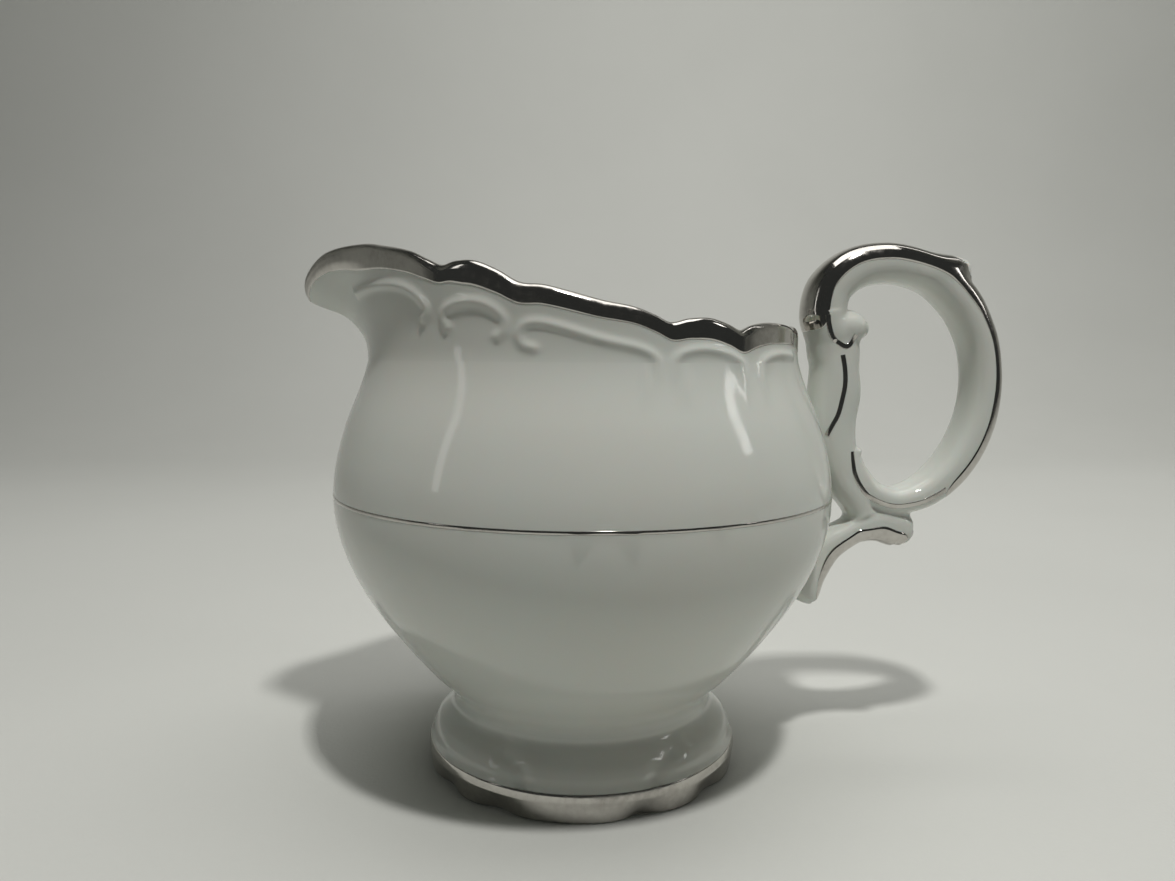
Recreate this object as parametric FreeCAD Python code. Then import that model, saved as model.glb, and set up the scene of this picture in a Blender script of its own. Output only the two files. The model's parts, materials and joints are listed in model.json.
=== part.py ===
import FreeCAD, Part
import math
import os

# Porcelain cream jug with platinum trim.
# +Z is up and z = 0 is the table. The axis of the round body is the Z axis.
# The spout points towards -X and the handle stands out towards +X. Millimetres.

# ---- Driving dimensions of the bowl
BELLY_RADIUS = 48.0
BELLY_HEIGHT = 54.3
WAIST_RADIUS = 25.6
WAIST_HEIGHT = 13.3
NECK_RADIUS = 41.0
NECK_HEIGHT = 84.0
SHOULDER_RADIUS = 41.3
SHOULDER_TOP = 79.0
WALL = 3.0
LIP_WALL = 2.2
FLOOR_HEIGHT = 17.0
FLOOR_INSETS = (1.0, 2.5, 4.5)

# ---- Spout
SPOUT_REACH = 11.5
SPOUT_SPREAD_DEG = 14.9

# ---- Foot
FOOT_RADIUS = 30.6
FOOT_CREASE_HEIGHT = 3.9
FOOT_BOTTOM_RADIUS = 27.7
FOOT_NOTCH_DEPTH = 1.7
FOOT_NOTCH_SPREAD_DEG = 7.0
FOOT_NOTCHES_DEG = (29.0, 55.0, 106.0, 137.0)
FOOT_RECESS_RADIUS = 23.0
FOOT_RECESS_DEPTH = 9.0
FOOT_RECESS_DRAFT = 3.0

# ---- Platinum trim
TRIM = 0.2
RIM_BAND_HEIGHT = 2.2
RIM_BAND_INSIDE = 2.6
BELLY_LINE_WIDTH = 0.6
FOOT_BAND_TOP = 5.4
FOOT_BAND_BOTTOM = 0.3

# Outer outline of the body below the neck, as (radius, height).
BODY_PROFILE = (
    (WAIST_RADIUS, WAIST_HEIGHT),
    (27.4, 16.4),
    (30.6, 20.0),
    (34.0, 24.0),
    (37.1, 28.0),
    (40.7, 33.0),
    (43.7, 38.0),
    (46.3, 44.0),
    (47.75, 50.0),
    (BELLY_RADIUS, BELLY_HEIGHT),
    (47.75, 58.0),
    (47.0, 62.0),
    (45.3, 68.0),
    (42.9, 74.0),
    (SHOULDER_RADIUS, SHOULDER_TOP),
)

# Radius of the neck, as (height, radius), from the body's last point below the shoulder.
NECK_PROFILE = (
    (74.0, 42.9),
    (SHOULDER_TOP, SHOULDER_RADIUS),
    (NECK_HEIGHT, NECK_RADIUS),
    (89.0, 41.3),
    (95.0, 41.7),
    (103.0, 42.2),
)

# Height of the lip's top, as (degrees round from the spout, height). Both halves match.
LIP_HEIGHTS = (
    (0.0, 92.2),
    (4.5, 94.9),
    (11.0, 98.3),
    (20.0, 99.2),
    (30.0, 98.3),
    (41.0, 96.8),
    (52.0, 94.1),
    (59.0, 94.6),
    (71.0, 91.1),
    (76.5, 90.7),
    (89.0, 88.4),
    (96.0, 87.5),
    (104.5, 85.3),
    (114.0, 86.0),
    (124.0, 84.4),
    (136.0, 85.8),
    (148.0, 85.6),
    (158.0, 84.2),
    (169.0, 86.0),
    (180.0, 86.1),
)

# How the spout's bulge grows from the shoulder (0) to the lip (1), as shares.
SPOUT_GROWTH = (
    (0.0, 0.0),
    (0.26, 0.08),
    (0.46, 0.185),
    (0.60, 0.30),
    (0.73, 0.48),
    (0.83, 0.76),
    (0.91, 0.94),
    (1.0, 1.0),
)

# Foot outline above the crease, as (radius, height), downwards from the waist.
FOOT_PROFILE = (
    (WAIST_RADIUS, WAIST_HEIGHT),
    (26.4, 12.2),
    (28.6, 10.2),
    (29.8, 8.1),
    (30.5, 6.0),
    (FOOT_RADIUS, FOOT_CREASE_HEIGHT),
)

# ---- Handle limbs in the X-Z plane. Each station is
# (x, z, depth to the back, depth to the front, half width); the back is on the left
# of the way along the limb.
LOOP = (
    (49.9, 84.4, 1.8, 1.8, 4.4),
    (49.0, 86.4, 2.9, 2.6, 4.9),
    (48.4, 89.4, 3.9, 3.3, 5.2),
    (49.6, 94.0, 4.1, 3.4, 5.25),
    (54.0, 97.8, 4.1, 3.9, 5.25),
    (60.2, 99.1, 4.0, 4.0, 5.25),
    (66.2, 98.3, 3.9, 3.8, 5.25),
    (70.2, 96.9, 3.9, 3.8, 5.25),
    (72.2, 95.8, 4.7, 3.8, 5.2),
    (73.4, 94.9, 6.3, 3.8, 5.1),
    (74.6, 93.8, 4.8, 3.7, 5.2),
    (76.6, 91.5, 3.7, 3.6, 5.2),
    (78.5, 88.6, 3.6, 3.5, 5.2),
    (80.7, 83.6, 3.4, 3.3, 5.2),
    (81.8, 78.0, 3.3, 3.3, 5.2),
    (81.8, 72.4, 3.3, 3.3, 5.2),
    (80.6, 66.6, 3.5, 3.3, 5.2),
    (78.0, 61.0, 3.7, 3.2, 5.1),
    (74.2, 56.2, 3.8, 3.0, 5.0),
    (69.4, 52.6, 3.5, 2.8, 4.9),
    (64.0, 51.2, 2.8, 2.6, 4.8),
    (59.2, 52.8, 2.7, 2.5, 4.6),
    (56.2, 56.6, 2.4, 2.2, 4.3),
    (54.6, 60.8, 1.6, 1.4, 3.8),
    (54.5, 62.6, 0.7, 0.7, 3.0),
)
VOLUTE = (
    (48.8, 85.2, 2.4, 2.4, 4.5),
    (51.0, 85.6, 3.1, 3.2, 4.9),
    (53.4, 85.8, 3.3, 3.3, 5.0),
    (55.4, 85.8, 2.6, 2.6, 4.6),
    (56.4, 85.8, 1.3, 1.3, 3.6),
)
STEM = (
    (57.0, 48.6, 1.9, 1.9, 4.0),
    (55.6, 51.6, 2.6, 2.6, 4.5),
    (53.2, 56.0, 4.0, 3.4, 4.9),
    (51.4, 61.0, 4.4, 4.2, 5.0),
    (50.4, 67.0, 4.4, 4.8, 5.0),
    (50.5, 73.0, 4.1, 5.5, 5.05),
    (50.5, 78.0, 3.3, 5.1, 5.0),
    (50.4, 81.4, 3.0, 5.7, 4.9),
    (50.2, 83.6, 2.6, 5.8, 4.6),
)
SPUR = (
    (43.8, 30.9, 4.0, 4.6, 3.2),
    (44.4, 32.2, 4.9, 5.2, 4.2),
    (46.6, 36.8, 4.7, 4.6, 4.3),
    (49.8, 41.6, 3.2, 4.3, 4.2),
    (54.4, 44.9, 2.1, 4.2, 4.1),
    (57.4, 46.0, 3.0, 4.2, 4.1),
    (61.0, 46.3, 4.2, 4.1, 4.1),
    (65.0, 45.2, 4.0, 4.1, 4.1),
    (67.2, 43.9, 2.9, 2.9, 3.5),
    (68.2, 43.1, 1.3, 1.4, 2.4),
)

# Painted lines on the limbs: how far along the limb, as a share of its stations, and
# where round the section, in degrees from the middle of the back.
BACK_BAND_TURN = 72.0
BACK_BAND_SPAN = (0.02, 0.775)
VOLUTE_BAND_SPAN = (0.15, 0.75)
VOLUTE_BAND_TURNS = (110.0, 250.0)
INNER_LINE_SPAN = (0.78, 0.983)
INNER_LINE_TURNS = (50.0, 62.0)
STEM_LINE_SPAN = (0.46, 0.84)
STEM_LINE_TURNS = (82.0, 94.0)
SPUR_BAND_TURNS = (104.0, 256.0)
SPUR_BAND_SPAN = (0.06, 0.94)

# ---- Sampling of the moulded surfaces
ROUND_COLUMNS = 96
SECTION_POINTS = 24
SECTION_POWER = 2.5
PAINT_POINTS = 8
LOOP_STEPS = 104
VOLUTE_STEPS = 16
STEM_STEPS = 32
SPUR_STEPS = 32
SPOUT_CROWDING = 0.6
NECK_ROWS = 14
LIP_ROWS = 5
FOOT_ROWS = 26
BAND_OUTSIDE_ROWS = 6
BAND_INSIDE_ROWS = 4
FINITE_STEP = 1e-4


def through(points, x):
    """Value at x of a smooth curve through (x, y) points, flat beyond both ends."""
    if x <= points[0][0]:
        return points[0][1]
    if x >= points[-1][0]:
        return points[-1][1]
    last = len(points) - 1
    i = max(k for k in range(last) if points[k][0] <= x)

    def slope(k):
        low, high = max(k - 1, 0), min(k + 1, last)
        return (points[high][1] - points[low][1]) / (points[high][0] - points[low][0])

    width = points[i + 1][0] - points[i][0]
    t = (x - points[i][0]) / width
    start, end = points[i][1], points[i + 1][1]
    rise_start, rise_end = slope(i) * width, slope(i + 1) * width
    return (
        (2 * t**3 - 3 * t**2 + 1) * start
        + (t**3 - 2 * t**2 + t) * rise_start
        + (3 * t**2 - 2 * t**3) * end
        + (t**3 - t**2) * rise_end
    )


def column_angles():
    """Angles round the jug, in degrees from the spout, crowded towards the spout."""
    turns = [i / ROUND_COLUMNS for i in range(ROUND_COLUMNS)]
    return [360 * t - math.degrees(SPOUT_CROWDING * math.sin(2 * math.pi * t)) for t in turns]


def from_spout(angle):
    """The angle's distance from the spout, 0 to 180 degrees."""
    return abs((angle + 180) % 360 - 180)


def place(angle, radius, height):
    """A point at an angle from the spout, which lies on -X."""
    turn = math.radians(180 + angle)
    return FreeCAD.Vector(radius * math.cos(turn), radius * math.sin(turn), height)


def lip_edge_height(angle):
    """Height of the lip's outer edge, below its rounded top."""
    return through(LIP_HEIGHTS, from_spout(angle)) - LIP_WALL / 2


def wall_point(angle, row):
    """Outer surface of the bowl: rows 0 to 1 climb the body, rows 1 to 2 the neck to the lip."""
    if row <= 1:
        last = len(BODY_PROFILE) - 1
        outline = BODY_PROFILE + ((NECK_RADIUS, NECK_HEIGHT),)
        radii = [(k / last, point[0]) for k, point in enumerate(outline)]
        heights = [(k / last, point[1]) for k, point in enumerate(outline)]
        return place(angle, through(radii, row), through(heights, row))
    share = row - 1
    aside = from_spout(angle)
    height = SHOULDER_TOP + share * (lip_edge_height(angle) - SHOULDER_TOP)
    spread = math.exp(-((aside / SPOUT_SPREAD_DEG) ** 2))
    bulge = SPOUT_REACH * spread * through(SPOUT_GROWTH, share)
    return place(angle, through(NECK_PROFILE, height) + bulge, height)


def wall_frame(angle, row):
    """The wall's outward normal and its upward direction at a point."""
    low = max(row - FINITE_STEP, 0)
    high = min(row + FINITE_STEP, 2)
    up = wall_point(angle, high) - wall_point(angle, low)
    round_step = wall_point(angle + FINITE_STEP, row) - wall_point(angle - FINITE_STEP, row)
    normal = round_step.cross(up)
    return normal.normalize(), up.normalize()


def wall_thickness(row):
    """Thickness of the porcelain: thinner towards the lip."""
    return WALL if row <= 1 else WALL + (row - 1) * (LIP_WALL - WALL)


def lip_point(angle, turn_deg, grow):
    """A point on the rounded lip: turn 0 is the outer edge, 180 the inner edge."""
    normal, up = wall_frame(angle, 2)
    half = LIP_WALL / 2
    centre = wall_point(angle, 2) - normal * half
    turn = math.radians(turn_deg)
    return centre + (normal * math.cos(turn) + up * math.sin(turn)) * (half + grow)


def skin_point(angle, row, outside, grow):
    """A point of the bowl's outer or inner surface, moved off the porcelain by grow."""
    normal, _ = wall_frame(angle, row)
    shift = grow if outside else -wall_thickness(row) - grow
    return wall_point(angle, row) + normal * shift


def lip_rows():
    """Turns of the lip's rows between its outer and inner edges."""
    return [180 * (k + 0.5) / LIP_ROWS for k in range(LIP_ROWS)]


def sharpened(rows, closed_rows):
    """Poles of a cubic surface that passes close to the given grid of points."""

    def corrected(before, here, after):
        return here - (before + after - here * 2) * (1 / 6)

    turned = [
        [corrected(row[i - 1], row[i], row[(i + 1) % len(row)]) for i in range(len(row))]
        for row in rows
    ]
    last = len(turned) - 1
    poles = []
    for j, row in enumerate(turned):
        if not closed_rows and j in (0, last):
            poles.append(row)
            continue
        before, after = turned[j - 1], turned[(j + 1) % (last + 1)]
        poles.append([corrected(before[i], row[i], after[i]) for i in range(len(row))])
    return poles


def round_surface(rows, closed_rows=False):
    """A smooth surface, closed round the jug, through rows of points."""
    poles = sharpened(rows, closed_rows)
    columns = len(poles[0])
    count = len(poles)
    if closed_rows:
        row_knots = list(range(count + 1))
        row_mults = [1] * (count + 1)
    else:
        row_knots = list(range(count - 2))
        row_mults = [4] + [1] * (count - 4) + [4]
    surface = Part.BSplineSurface()
    surface.buildFromPolesMultsKnots(
        poles, row_mults, [1] * (columns + 1), row_knots, list(range(columns + 1)),
        closed_rows, True, 3, 3,
    )
    return surface.toShape()


def free_rings(face):
    """The closed edges that bound a round surface at its two ends."""
    return [edge for edge in face.Edges if not edge.isSeam(face)]


def capped(face):
    """A solid from a round surface whose two end rings are flat."""
    caps = [Part.Face(Part.Wire([ring])) for ring in free_rings(face)]
    shell = Part.makeShell([face] + caps)
    shell.sewShape()
    return outward(Part.Solid(shell))


def outward(solid):
    """The same solid with its faces turned outwards."""
    if solid.Volume < 0:
        solid.reverse()
    return solid


def ring_solid(rows):
    """A solid ring from rows that close on themselves."""
    shell = Part.makeShell([round_surface(rows, closed_rows=True)])
    return outward(Part.Solid(shell))


def make_bowl():
    """Porcelain bowl: outer wall, rounded scalloped lip, inner wall and flat floor."""
    angles = column_angles()
    body_rows = [k / (2 * (len(BODY_PROFILE) - 1)) for k in range(2 * (len(BODY_PROFILE) - 1) + 1)]
    neck_rows = [1 + (k + 1) / NECK_ROWS for k in range(NECK_ROWS)]
    rows = [[skin_point(a, row, True, 0) for a in angles] for row in body_rows + neck_rows]
    rows += [[lip_point(a, turn, 0) for a in angles] for turn in lip_rows()]
    for row in reversed(body_rows + neck_rows):
        ring = [skin_point(a, row, False, 0) for a in angles]
        if min(point.z for point in ring) > FLOOR_HEIGHT + 1:
            rows.append(ring)
    floor_edge = math.hypot(rows[-1][0].x, rows[-1][0].y)
    for inset in FLOOR_INSETS:
        rows.append([place(a, floor_edge - inset, FLOOR_HEIGHT) for a in angles])
    return capped(round_surface(rows))


def foot_radius(angle, height):
    """Radius of the foot below the crease, drawn in at the notches between its lobes."""
    aside = from_spout(angle)
    notch = sum(math.exp(-(((aside - n) / FOOT_NOTCH_SPREAD_DEG) ** 2)) for n in FOOT_NOTCHES_DEG)
    share = 1 - height / FOOT_CREASE_HEIGHT
    plain = FOOT_RADIUS + (FOOT_BOTTOM_RADIUS - FOOT_RADIUS) * share
    return plain - FOOT_NOTCH_DEPTH * notch * share


def foot_rows(angles, top, bottom, grow):
    """Rows of the foot's outer surface between two heights, going down."""
    upper = [(z, r) for r, z in reversed(FOOT_PROFILE)]
    rows = []
    for k in range(FOOT_ROWS + 1):
        z = top + (bottom - top) * k / FOOT_ROWS
        if z >= FOOT_CREASE_HEIGHT:
            rows.append([place(a, through(upper, z) + grow, z) for a in angles])
        else:
            rows.append([place(a, foot_radius(a, z) + grow, z) for a in angles])
    return rows


def make_foot():
    """Pedestal foot with a scalloped edge and a round recess under it."""
    angles = column_angles()
    block = capped(round_surface(foot_rows(angles, WAIST_HEIGHT, 0, 0)))
    recess = Part.makeCone(FOOT_RECESS_RADIUS, FOOT_RECESS_RADIUS - FOOT_RECESS_DRAFT, FOOT_RECESS_DEPTH)
    return block.cut(recess)


def make_foot_band():
    """Platinum round the foot's edge."""
    angles = column_angles()
    outer = foot_rows(angles, FOOT_BAND_TOP, FOOT_BAND_BOTTOM, TRIM)
    inner = foot_rows(angles, FOOT_BAND_TOP, FOOT_BAND_BOTTOM, 0)
    return ring_solid(outer + inner[::-1])


def band_row(angle, drop):
    """The wall row that lies a given distance below the lip."""
    return 2 - drop / (lip_edge_height(angle) - SHOULDER_TOP)


def make_rim_band():
    """Platinum over the lip, a strip outside it and a narrower one inside."""
    angles = column_angles()
    outside = [RIM_BAND_HEIGHT * (1 - k / BAND_OUTSIDE_ROWS) for k in range(BAND_OUTSIDE_ROWS + 1)]
    inside = [RIM_BAND_INSIDE * k / BAND_INSIDE_ROWS for k in range(BAND_INSIDE_ROWS + 1)]

    def rows(grow):
        ring = [[skin_point(a, band_row(a, d), True, grow) for a in angles] for d in outside]
        ring += [[lip_point(a, turn, grow) for a in angles] for turn in lip_rows()]
        ring += [[skin_point(a, band_row(a, d), False, grow) for a in angles] for d in inside]
        return ring

    return ring_solid(rows(TRIM) + rows(0)[::-1])


def make_belly_line():
    """Platinum line round the widest part of the belly."""
    base = FreeCAD.Vector(0, 0, BELLY_HEIGHT - BELLY_LINE_WIDTH / 2)
    disc = Part.makeCylinder(BELLY_RADIUS + TRIM / 2, BELLY_LINE_WIDTH, base)
    return disc.cut(body_envelope())


def body_envelope():
    """The filled body up to the shoulder, used to trim what is stuck to it."""
    outline = [FreeCAD.Vector(r, 0, z) for r, z in BODY_PROFILE]
    curve = Part.BSplineCurve()
    curve.interpolate(outline)
    foot = FreeCAD.Vector(0, 0, WAIST_HEIGHT)
    top = FreeCAD.Vector(0, 0, SHOULDER_TOP)
    edges = [curve.toShape(), Part.makeLine(outline[-1], top), Part.makeLine(top, foot)]
    edges.append(Part.makeLine(foot, outline[0]))
    face = Part.Face(Part.Wire(edges))
    return face.revolve(FreeCAD.Vector(0, 0, 0), FreeCAD.Vector(0, 0, 1), 360)


def limb_stations(limb, steps):
    """Evenly spaced smooth stations along a limb, each with its normal to the back."""
    last = len(limb) - 1

    def at(share):
        return [through([(k, limb[k][i]) for k in range(last + 1)], share * last) for i in range(5)]

    stations = []
    for k in range(steps + 1):
        share = k / steps
        x, z, back, front, half_width = at(share)
        before, after = at(max(share - FINITE_STEP, 0)), at(min(share + FINITE_STEP, 1))
        along = FreeCAD.Vector(after[0] - before[0], 0, after[1] - before[1]).normalize()
        normal = FreeCAD.Vector(-along.z, 0, along.x)
        stations.append((FreeCAD.Vector(x, 0, z), normal, back, front, half_width))
    return stations


def section_point(station, turn_deg, grow):
    """A point on a limb's rounded section; turn 0 is the middle of the back."""
    centre, normal, back, front, half_width = station
    turn = math.radians(turn_deg)
    out, side = math.cos(turn), math.sin(turn)
    deep = back if out > 0 else front
    power = 2 / SECTION_POWER
    reach = math.copysign(abs(out) ** power, out) * (deep + grow)
    across = math.copysign(abs(side) ** power, side) * (half_width + grow)
    return centre + normal * reach + FreeCAD.Vector(0, across, 0)


def make_limb(limb, steps):
    """One limb of the handle as a solid with flat ends."""
    turns = [360 * k / SECTION_POINTS for k in range(SECTION_POINTS)]
    rows = [[section_point(s, t, 0) for t in turns] for s in limb_stations(limb, steps)]
    return capped(round_surface(rows))


def make_paint(limb, steps, span, turn_from, turn_to):
    """A thin platinum ribbon on a limb, between two turns of its section."""
    first, last = round(span[0] * steps), round(span[1] * steps)
    turns = [turn_from + (turn_to - turn_from) * k / PAINT_POINTS for k in range(PAINT_POINTS + 1)]
    rows = []
    for station in limb_stations(limb, steps)[first : last + 1]:
        over = [section_point(station, t, TRIM) for t in turns]
        under = [section_point(station, t, 0) for t in turns]
        rows.append(over + under[::-1])
    return capped(round_surface(rows))


def make_handle():
    """The handle's casting: loop with its volute, stem and lower spur, trimmed to the bowl."""
    loop = make_limb(LOOP, LOOP_STEPS)
    others = [make_limb(VOLUTE, VOLUTE_STEPS), make_limb(STEM, STEM_STEPS), make_limb(SPUR, SPUR_STEPS)]
    return loop.fuse(others).cut(body_envelope())


def trimmed(paint, handle):
    """The ribbon without what lies inside the handle or the bowl."""
    return paint.cut(handle).cut(body_envelope())


def mirrored(shape):
    """The same shape on the other side of the handle."""
    return shape.mirror(FreeCAD.Vector(0, 0, 0), FreeCAD.Vector(0, 1, 0))


def make_handle_trim(handle):
    """Every painted area of the handle, by name. Left is the side at -Y."""
    back_turns = (-BACK_BAND_TURN, BACK_BAND_TURN)
    pieces = {
        "handle_back_band": make_paint(LOOP, LOOP_STEPS, BACK_BAND_SPAN, *back_turns),
        "volute_band": make_paint(VOLUTE, VOLUTE_STEPS, VOLUTE_BAND_SPAN, *VOLUTE_BAND_TURNS),
        "spur_band": make_paint(SPUR, SPUR_STEPS, SPUR_BAND_SPAN, *SPUR_BAND_TURNS),
    }
    inner = make_paint(LOOP, LOOP_STEPS, INNER_LINE_SPAN, *INNER_LINE_TURNS)
    stem = make_paint(STEM, STEM_STEPS, STEM_LINE_SPAN, *STEM_LINE_TURNS)
    for name, line in (("loop_line", trimmed(inner, handle)), ("stem_line", trimmed(stem, handle))):
        pieces[name + "_right"] = line
        pieces[name + "_left"] = mirrored(line)
    return pieces


def main():
    """Build every piece and write it out."""
    handle = make_handle()
    pieces = {
        "bowl": make_bowl(),
        "foot": make_foot(),
        "handle": handle,
        "rim_band": make_rim_band(),
        "belly_line": make_belly_line(),
        "foot_band": make_foot_band(),
    }
    pieces.update(make_handle_trim(handle))
    os.makedirs("parts", exist_ok=True)
    for name, shape in pieces.items():
        shape.exportStep("parts/" + name + ".step")
        print(name, "valid" if shape.isValid() else "INVALID", len(shape.Solids), round(shape.Volume, 1))


main()
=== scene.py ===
"""A white porcelain cream jug with platinum trim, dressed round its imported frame."""

import json
import logging
import math
from dataclasses import dataclass
from enum import Enum
from functools import partial

import bmesh
import bpy
import numpy as np
from mathutils import Matrix, Vector

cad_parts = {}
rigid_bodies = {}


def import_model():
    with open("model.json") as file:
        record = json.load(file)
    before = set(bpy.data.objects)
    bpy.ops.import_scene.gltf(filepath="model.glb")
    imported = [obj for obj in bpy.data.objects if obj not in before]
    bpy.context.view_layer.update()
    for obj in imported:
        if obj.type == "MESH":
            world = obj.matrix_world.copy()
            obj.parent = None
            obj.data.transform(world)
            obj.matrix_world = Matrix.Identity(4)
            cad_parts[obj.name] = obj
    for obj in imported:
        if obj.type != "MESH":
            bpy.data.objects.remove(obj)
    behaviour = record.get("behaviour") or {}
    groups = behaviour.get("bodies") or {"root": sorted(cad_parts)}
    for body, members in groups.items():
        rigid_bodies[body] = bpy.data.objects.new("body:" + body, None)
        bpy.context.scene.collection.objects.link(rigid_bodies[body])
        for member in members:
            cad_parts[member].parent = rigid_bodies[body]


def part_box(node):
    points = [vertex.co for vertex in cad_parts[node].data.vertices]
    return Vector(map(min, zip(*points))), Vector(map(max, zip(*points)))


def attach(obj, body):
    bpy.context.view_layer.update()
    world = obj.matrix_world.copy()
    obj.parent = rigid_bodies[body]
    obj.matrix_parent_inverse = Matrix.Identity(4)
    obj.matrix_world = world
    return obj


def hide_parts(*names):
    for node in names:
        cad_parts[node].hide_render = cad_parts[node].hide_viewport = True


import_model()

LOG = logging.getLogger("cream_jug")
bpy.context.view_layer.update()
MM = 0.001
BODY = "root"

Array = np.ndarray
Points = tuple[tuple[float, float], ...]
Stations = tuple[tuple[float, float, float, float, float], ...]
Waves = tuple[tuple[float, float, float], ...]
Color = tuple[float, float, float, float]

# In millimetres: how thick a painted line is, and how far a wide film's outer and inner
# faces stand off the glaze.
LINE_HEIGHT = 0.16
FILM_LIFT = 0.05
FILM_SUNK = -0.1


class Slot(Enum):
    """The material slots of the record."""

    PORCELAIN = "porcelain"
    PLATINUM = "platinum"


class Side(Enum):
    """The two halves of the jug, either side of the plane through spout and handle."""

    LEFT = -1
    RIGHT = 1


# ---------------------------------------------------------------- curves and meshes


def smooth_through(points: Points, at: Array) -> Array:
    """A smooth curve through (x, y) points, flat beyond both ends.

    Args:
        points: The curve's points, in order of x.
        at: Where to read it.

    Returns:
        The curve's values.
    """
    xs, ys = (np.array(column, float) for column in zip(*points))
    slopes = np.empty_like(ys)
    slopes[1:-1] = (ys[2:] - ys[:-2]) / (xs[2:] - xs[:-2])
    slopes[0] = (ys[1] - ys[0]) / (xs[1] - xs[0])
    slopes[-1] = (ys[-1] - ys[-2]) / (xs[-1] - xs[-2])
    x = np.clip(np.asarray(at, float), xs[0], xs[-1])
    i = np.clip(np.searchsorted(xs, x, side="right") - 1, 0, len(xs) - 2)
    width = xs[i + 1] - xs[i]
    t = (x - xs[i]) / width
    return (
        (2 * t**3 - 3 * t**2 + 1) * ys[i]
        + (t**3 - 2 * t**2 + t) * slopes[i] * width
        + (3 * t**2 - 2 * t**3) * ys[i + 1]
        + (t**3 - t**2) * slopes[i + 1] * width
    )


def unit(vectors: Array) -> Array:
    """The same vectors at length one."""
    return vectors / np.maximum(np.linalg.norm(vectors, axis=-1, keepdims=True), 1e-12)


def hand_waver(turn: Array, waves: Waves) -> Array:
    """How a hand-held brush wavers on its way round the jug.

    Args:
        turn: Radians round the jug.
        waves: (waves in one turn, start in radians, height) of each wave.

    Returns:
        The sum of the waves.
    """
    return sum(height * np.sin(count * turn + start) for count, start, height in waves)


def grid_faces(rows: int, columns: int, closed_rows: bool, closed_columns: bool) -> Array:
    """Four-sided faces of a grid of points.

    Args:
        rows: How many rows the grid has.
        columns: How many points a row has.
        closed_rows: Whether the last row joins the first.
        closed_columns: Whether each row closes on itself.

    Returns:
        Indices of each face's corners.
    """
    i = np.arange(rows if closed_rows else rows - 1)[:, None]
    j = np.arange(columns if closed_columns else columns - 1)[None, :]
    above, beside = (i + 1) % rows, (j + 1) % columns
    corners = (i * columns + j, i * columns + beside, above * columns + beside, above * columns + j)
    return np.stack([np.broadcast_to(c, (i.shape[0], j.shape[1])).ravel() for c in corners], axis=1)


def in_scene(name: str, mesh: bpy.types.Mesh) -> bpy.types.Object:
    """A new object with the mesh, linked to the scene."""
    made = bpy.data.objects.new(name, mesh)
    bpy.context.scene.collection.objects.link(made)
    return made


def make_object(name: str, points_mm: Array, faces: list[Array]) -> bpy.types.Object:
    """A smooth-shaded mesh object at the origin.

    Args:
        name: The object's name.
        points_mm: Its points in millimetres.
        faces: Arrays of faces; each array holds faces with the same number of corners.

    Returns:
        The new object, linked to the scene.
    """
    mesh = bpy.data.meshes.new(name)
    points = np.asarray(points_mm, float).reshape(-1, 3) * MM
    mesh.vertices.add(len(points))
    mesh.vertices.foreach_set("co", points.ravel())
    corners = np.concatenate([f.ravel() for f in faces]).astype(np.int32)
    sizes = np.concatenate([np.full(len(f), f.shape[1]) for f in faces]).astype(np.int32)
    mesh.loops.add(len(corners))
    mesh.loops.foreach_set("vertex_index", corners)
    mesh.polygons.add(len(sizes))
    mesh.polygons.foreach_set("loop_start", np.concatenate([[0], np.cumsum(sizes)[:-1]]).astype(np.int32))
    mesh.update(calc_edges=True)
    mesh.validate()
    mesh.polygons.foreach_set("use_smooth", np.ones(len(mesh.polygons), bool))
    return in_scene(name, mesh)


def closed_skin(name: str, outer: Array, inner: Array) -> bpy.types.Object:
    """A thin closed film from its outer and inner sheets.

    Args:
        name: The object's name.
        outer: Grid of the outer sheet's points, rows by columns.
        inner: Grid of the inner sheet's points, of the same shape.

    Returns:
        The film, with its sides closed.
    """
    rows, columns = outer.shape[:2]
    ring = np.concatenate([outer, inner[:, ::-1]], axis=1)
    faces = [grid_faces(rows, 2 * columns, False, True)]
    last = (rows - 1) * 2 * columns
    ends = []
    for start, order in ((0, -1), (last, 1)):
        for j in range(columns - 1):
            corners = [start + j, start + j + 1, start + 2 * columns - 2 - j, start + 2 * columns - 1 - j]
            ends.append(corners[::order])
    faces.append(np.array(ends))
    return make_object(name, ring, faces)


def plain_mesh(source: bpy.types.Object, name: str) -> bpy.types.Object:
    """The evaluated object as a plain mesh object; the source is removed.

    Args:
        source: An object with live modifiers.
        name: The finished object's name.

    Returns:
        The finished object.
    """
    graph = bpy.context.evaluated_depsgraph_get()
    mesh = bpy.data.meshes.new_from_object(source.evaluated_get(graph))
    mesh.name = name
    bpy.data.objects.remove(source)
    return in_scene(name, mesh)


def loose_paths(name: str, paths: list[Array]) -> bpy.types.Object:
    """Paths as one object of loose edges, left out of the scene.

    Args:
        name: The object's name.
        paths: Each path's points, in millimetres.

    Returns:
        The object, for a Geometry Nodes tree to read.
    """
    edges, start = [], 0
    for path in paths:
        edges += [(i, i + 1) for i in range(start, start + len(path) - 1)]
        start += len(path)
    mesh = bpy.data.meshes.new(name)
    mesh.from_pydata((np.concatenate(paths) * MM).tolist(), edges, [])
    return bpy.data.objects.new(name, mesh)


def recalculated(piece: bpy.types.Object) -> None:
    """Turn every face of a closed mesh outwards."""
    work = bmesh.new()
    work.from_mesh(piece.data)
    bmesh.ops.recalc_face_normals(work, faces=work.faces)
    work.to_mesh(piece.data)
    work.free()
    piece.data.update()


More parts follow.
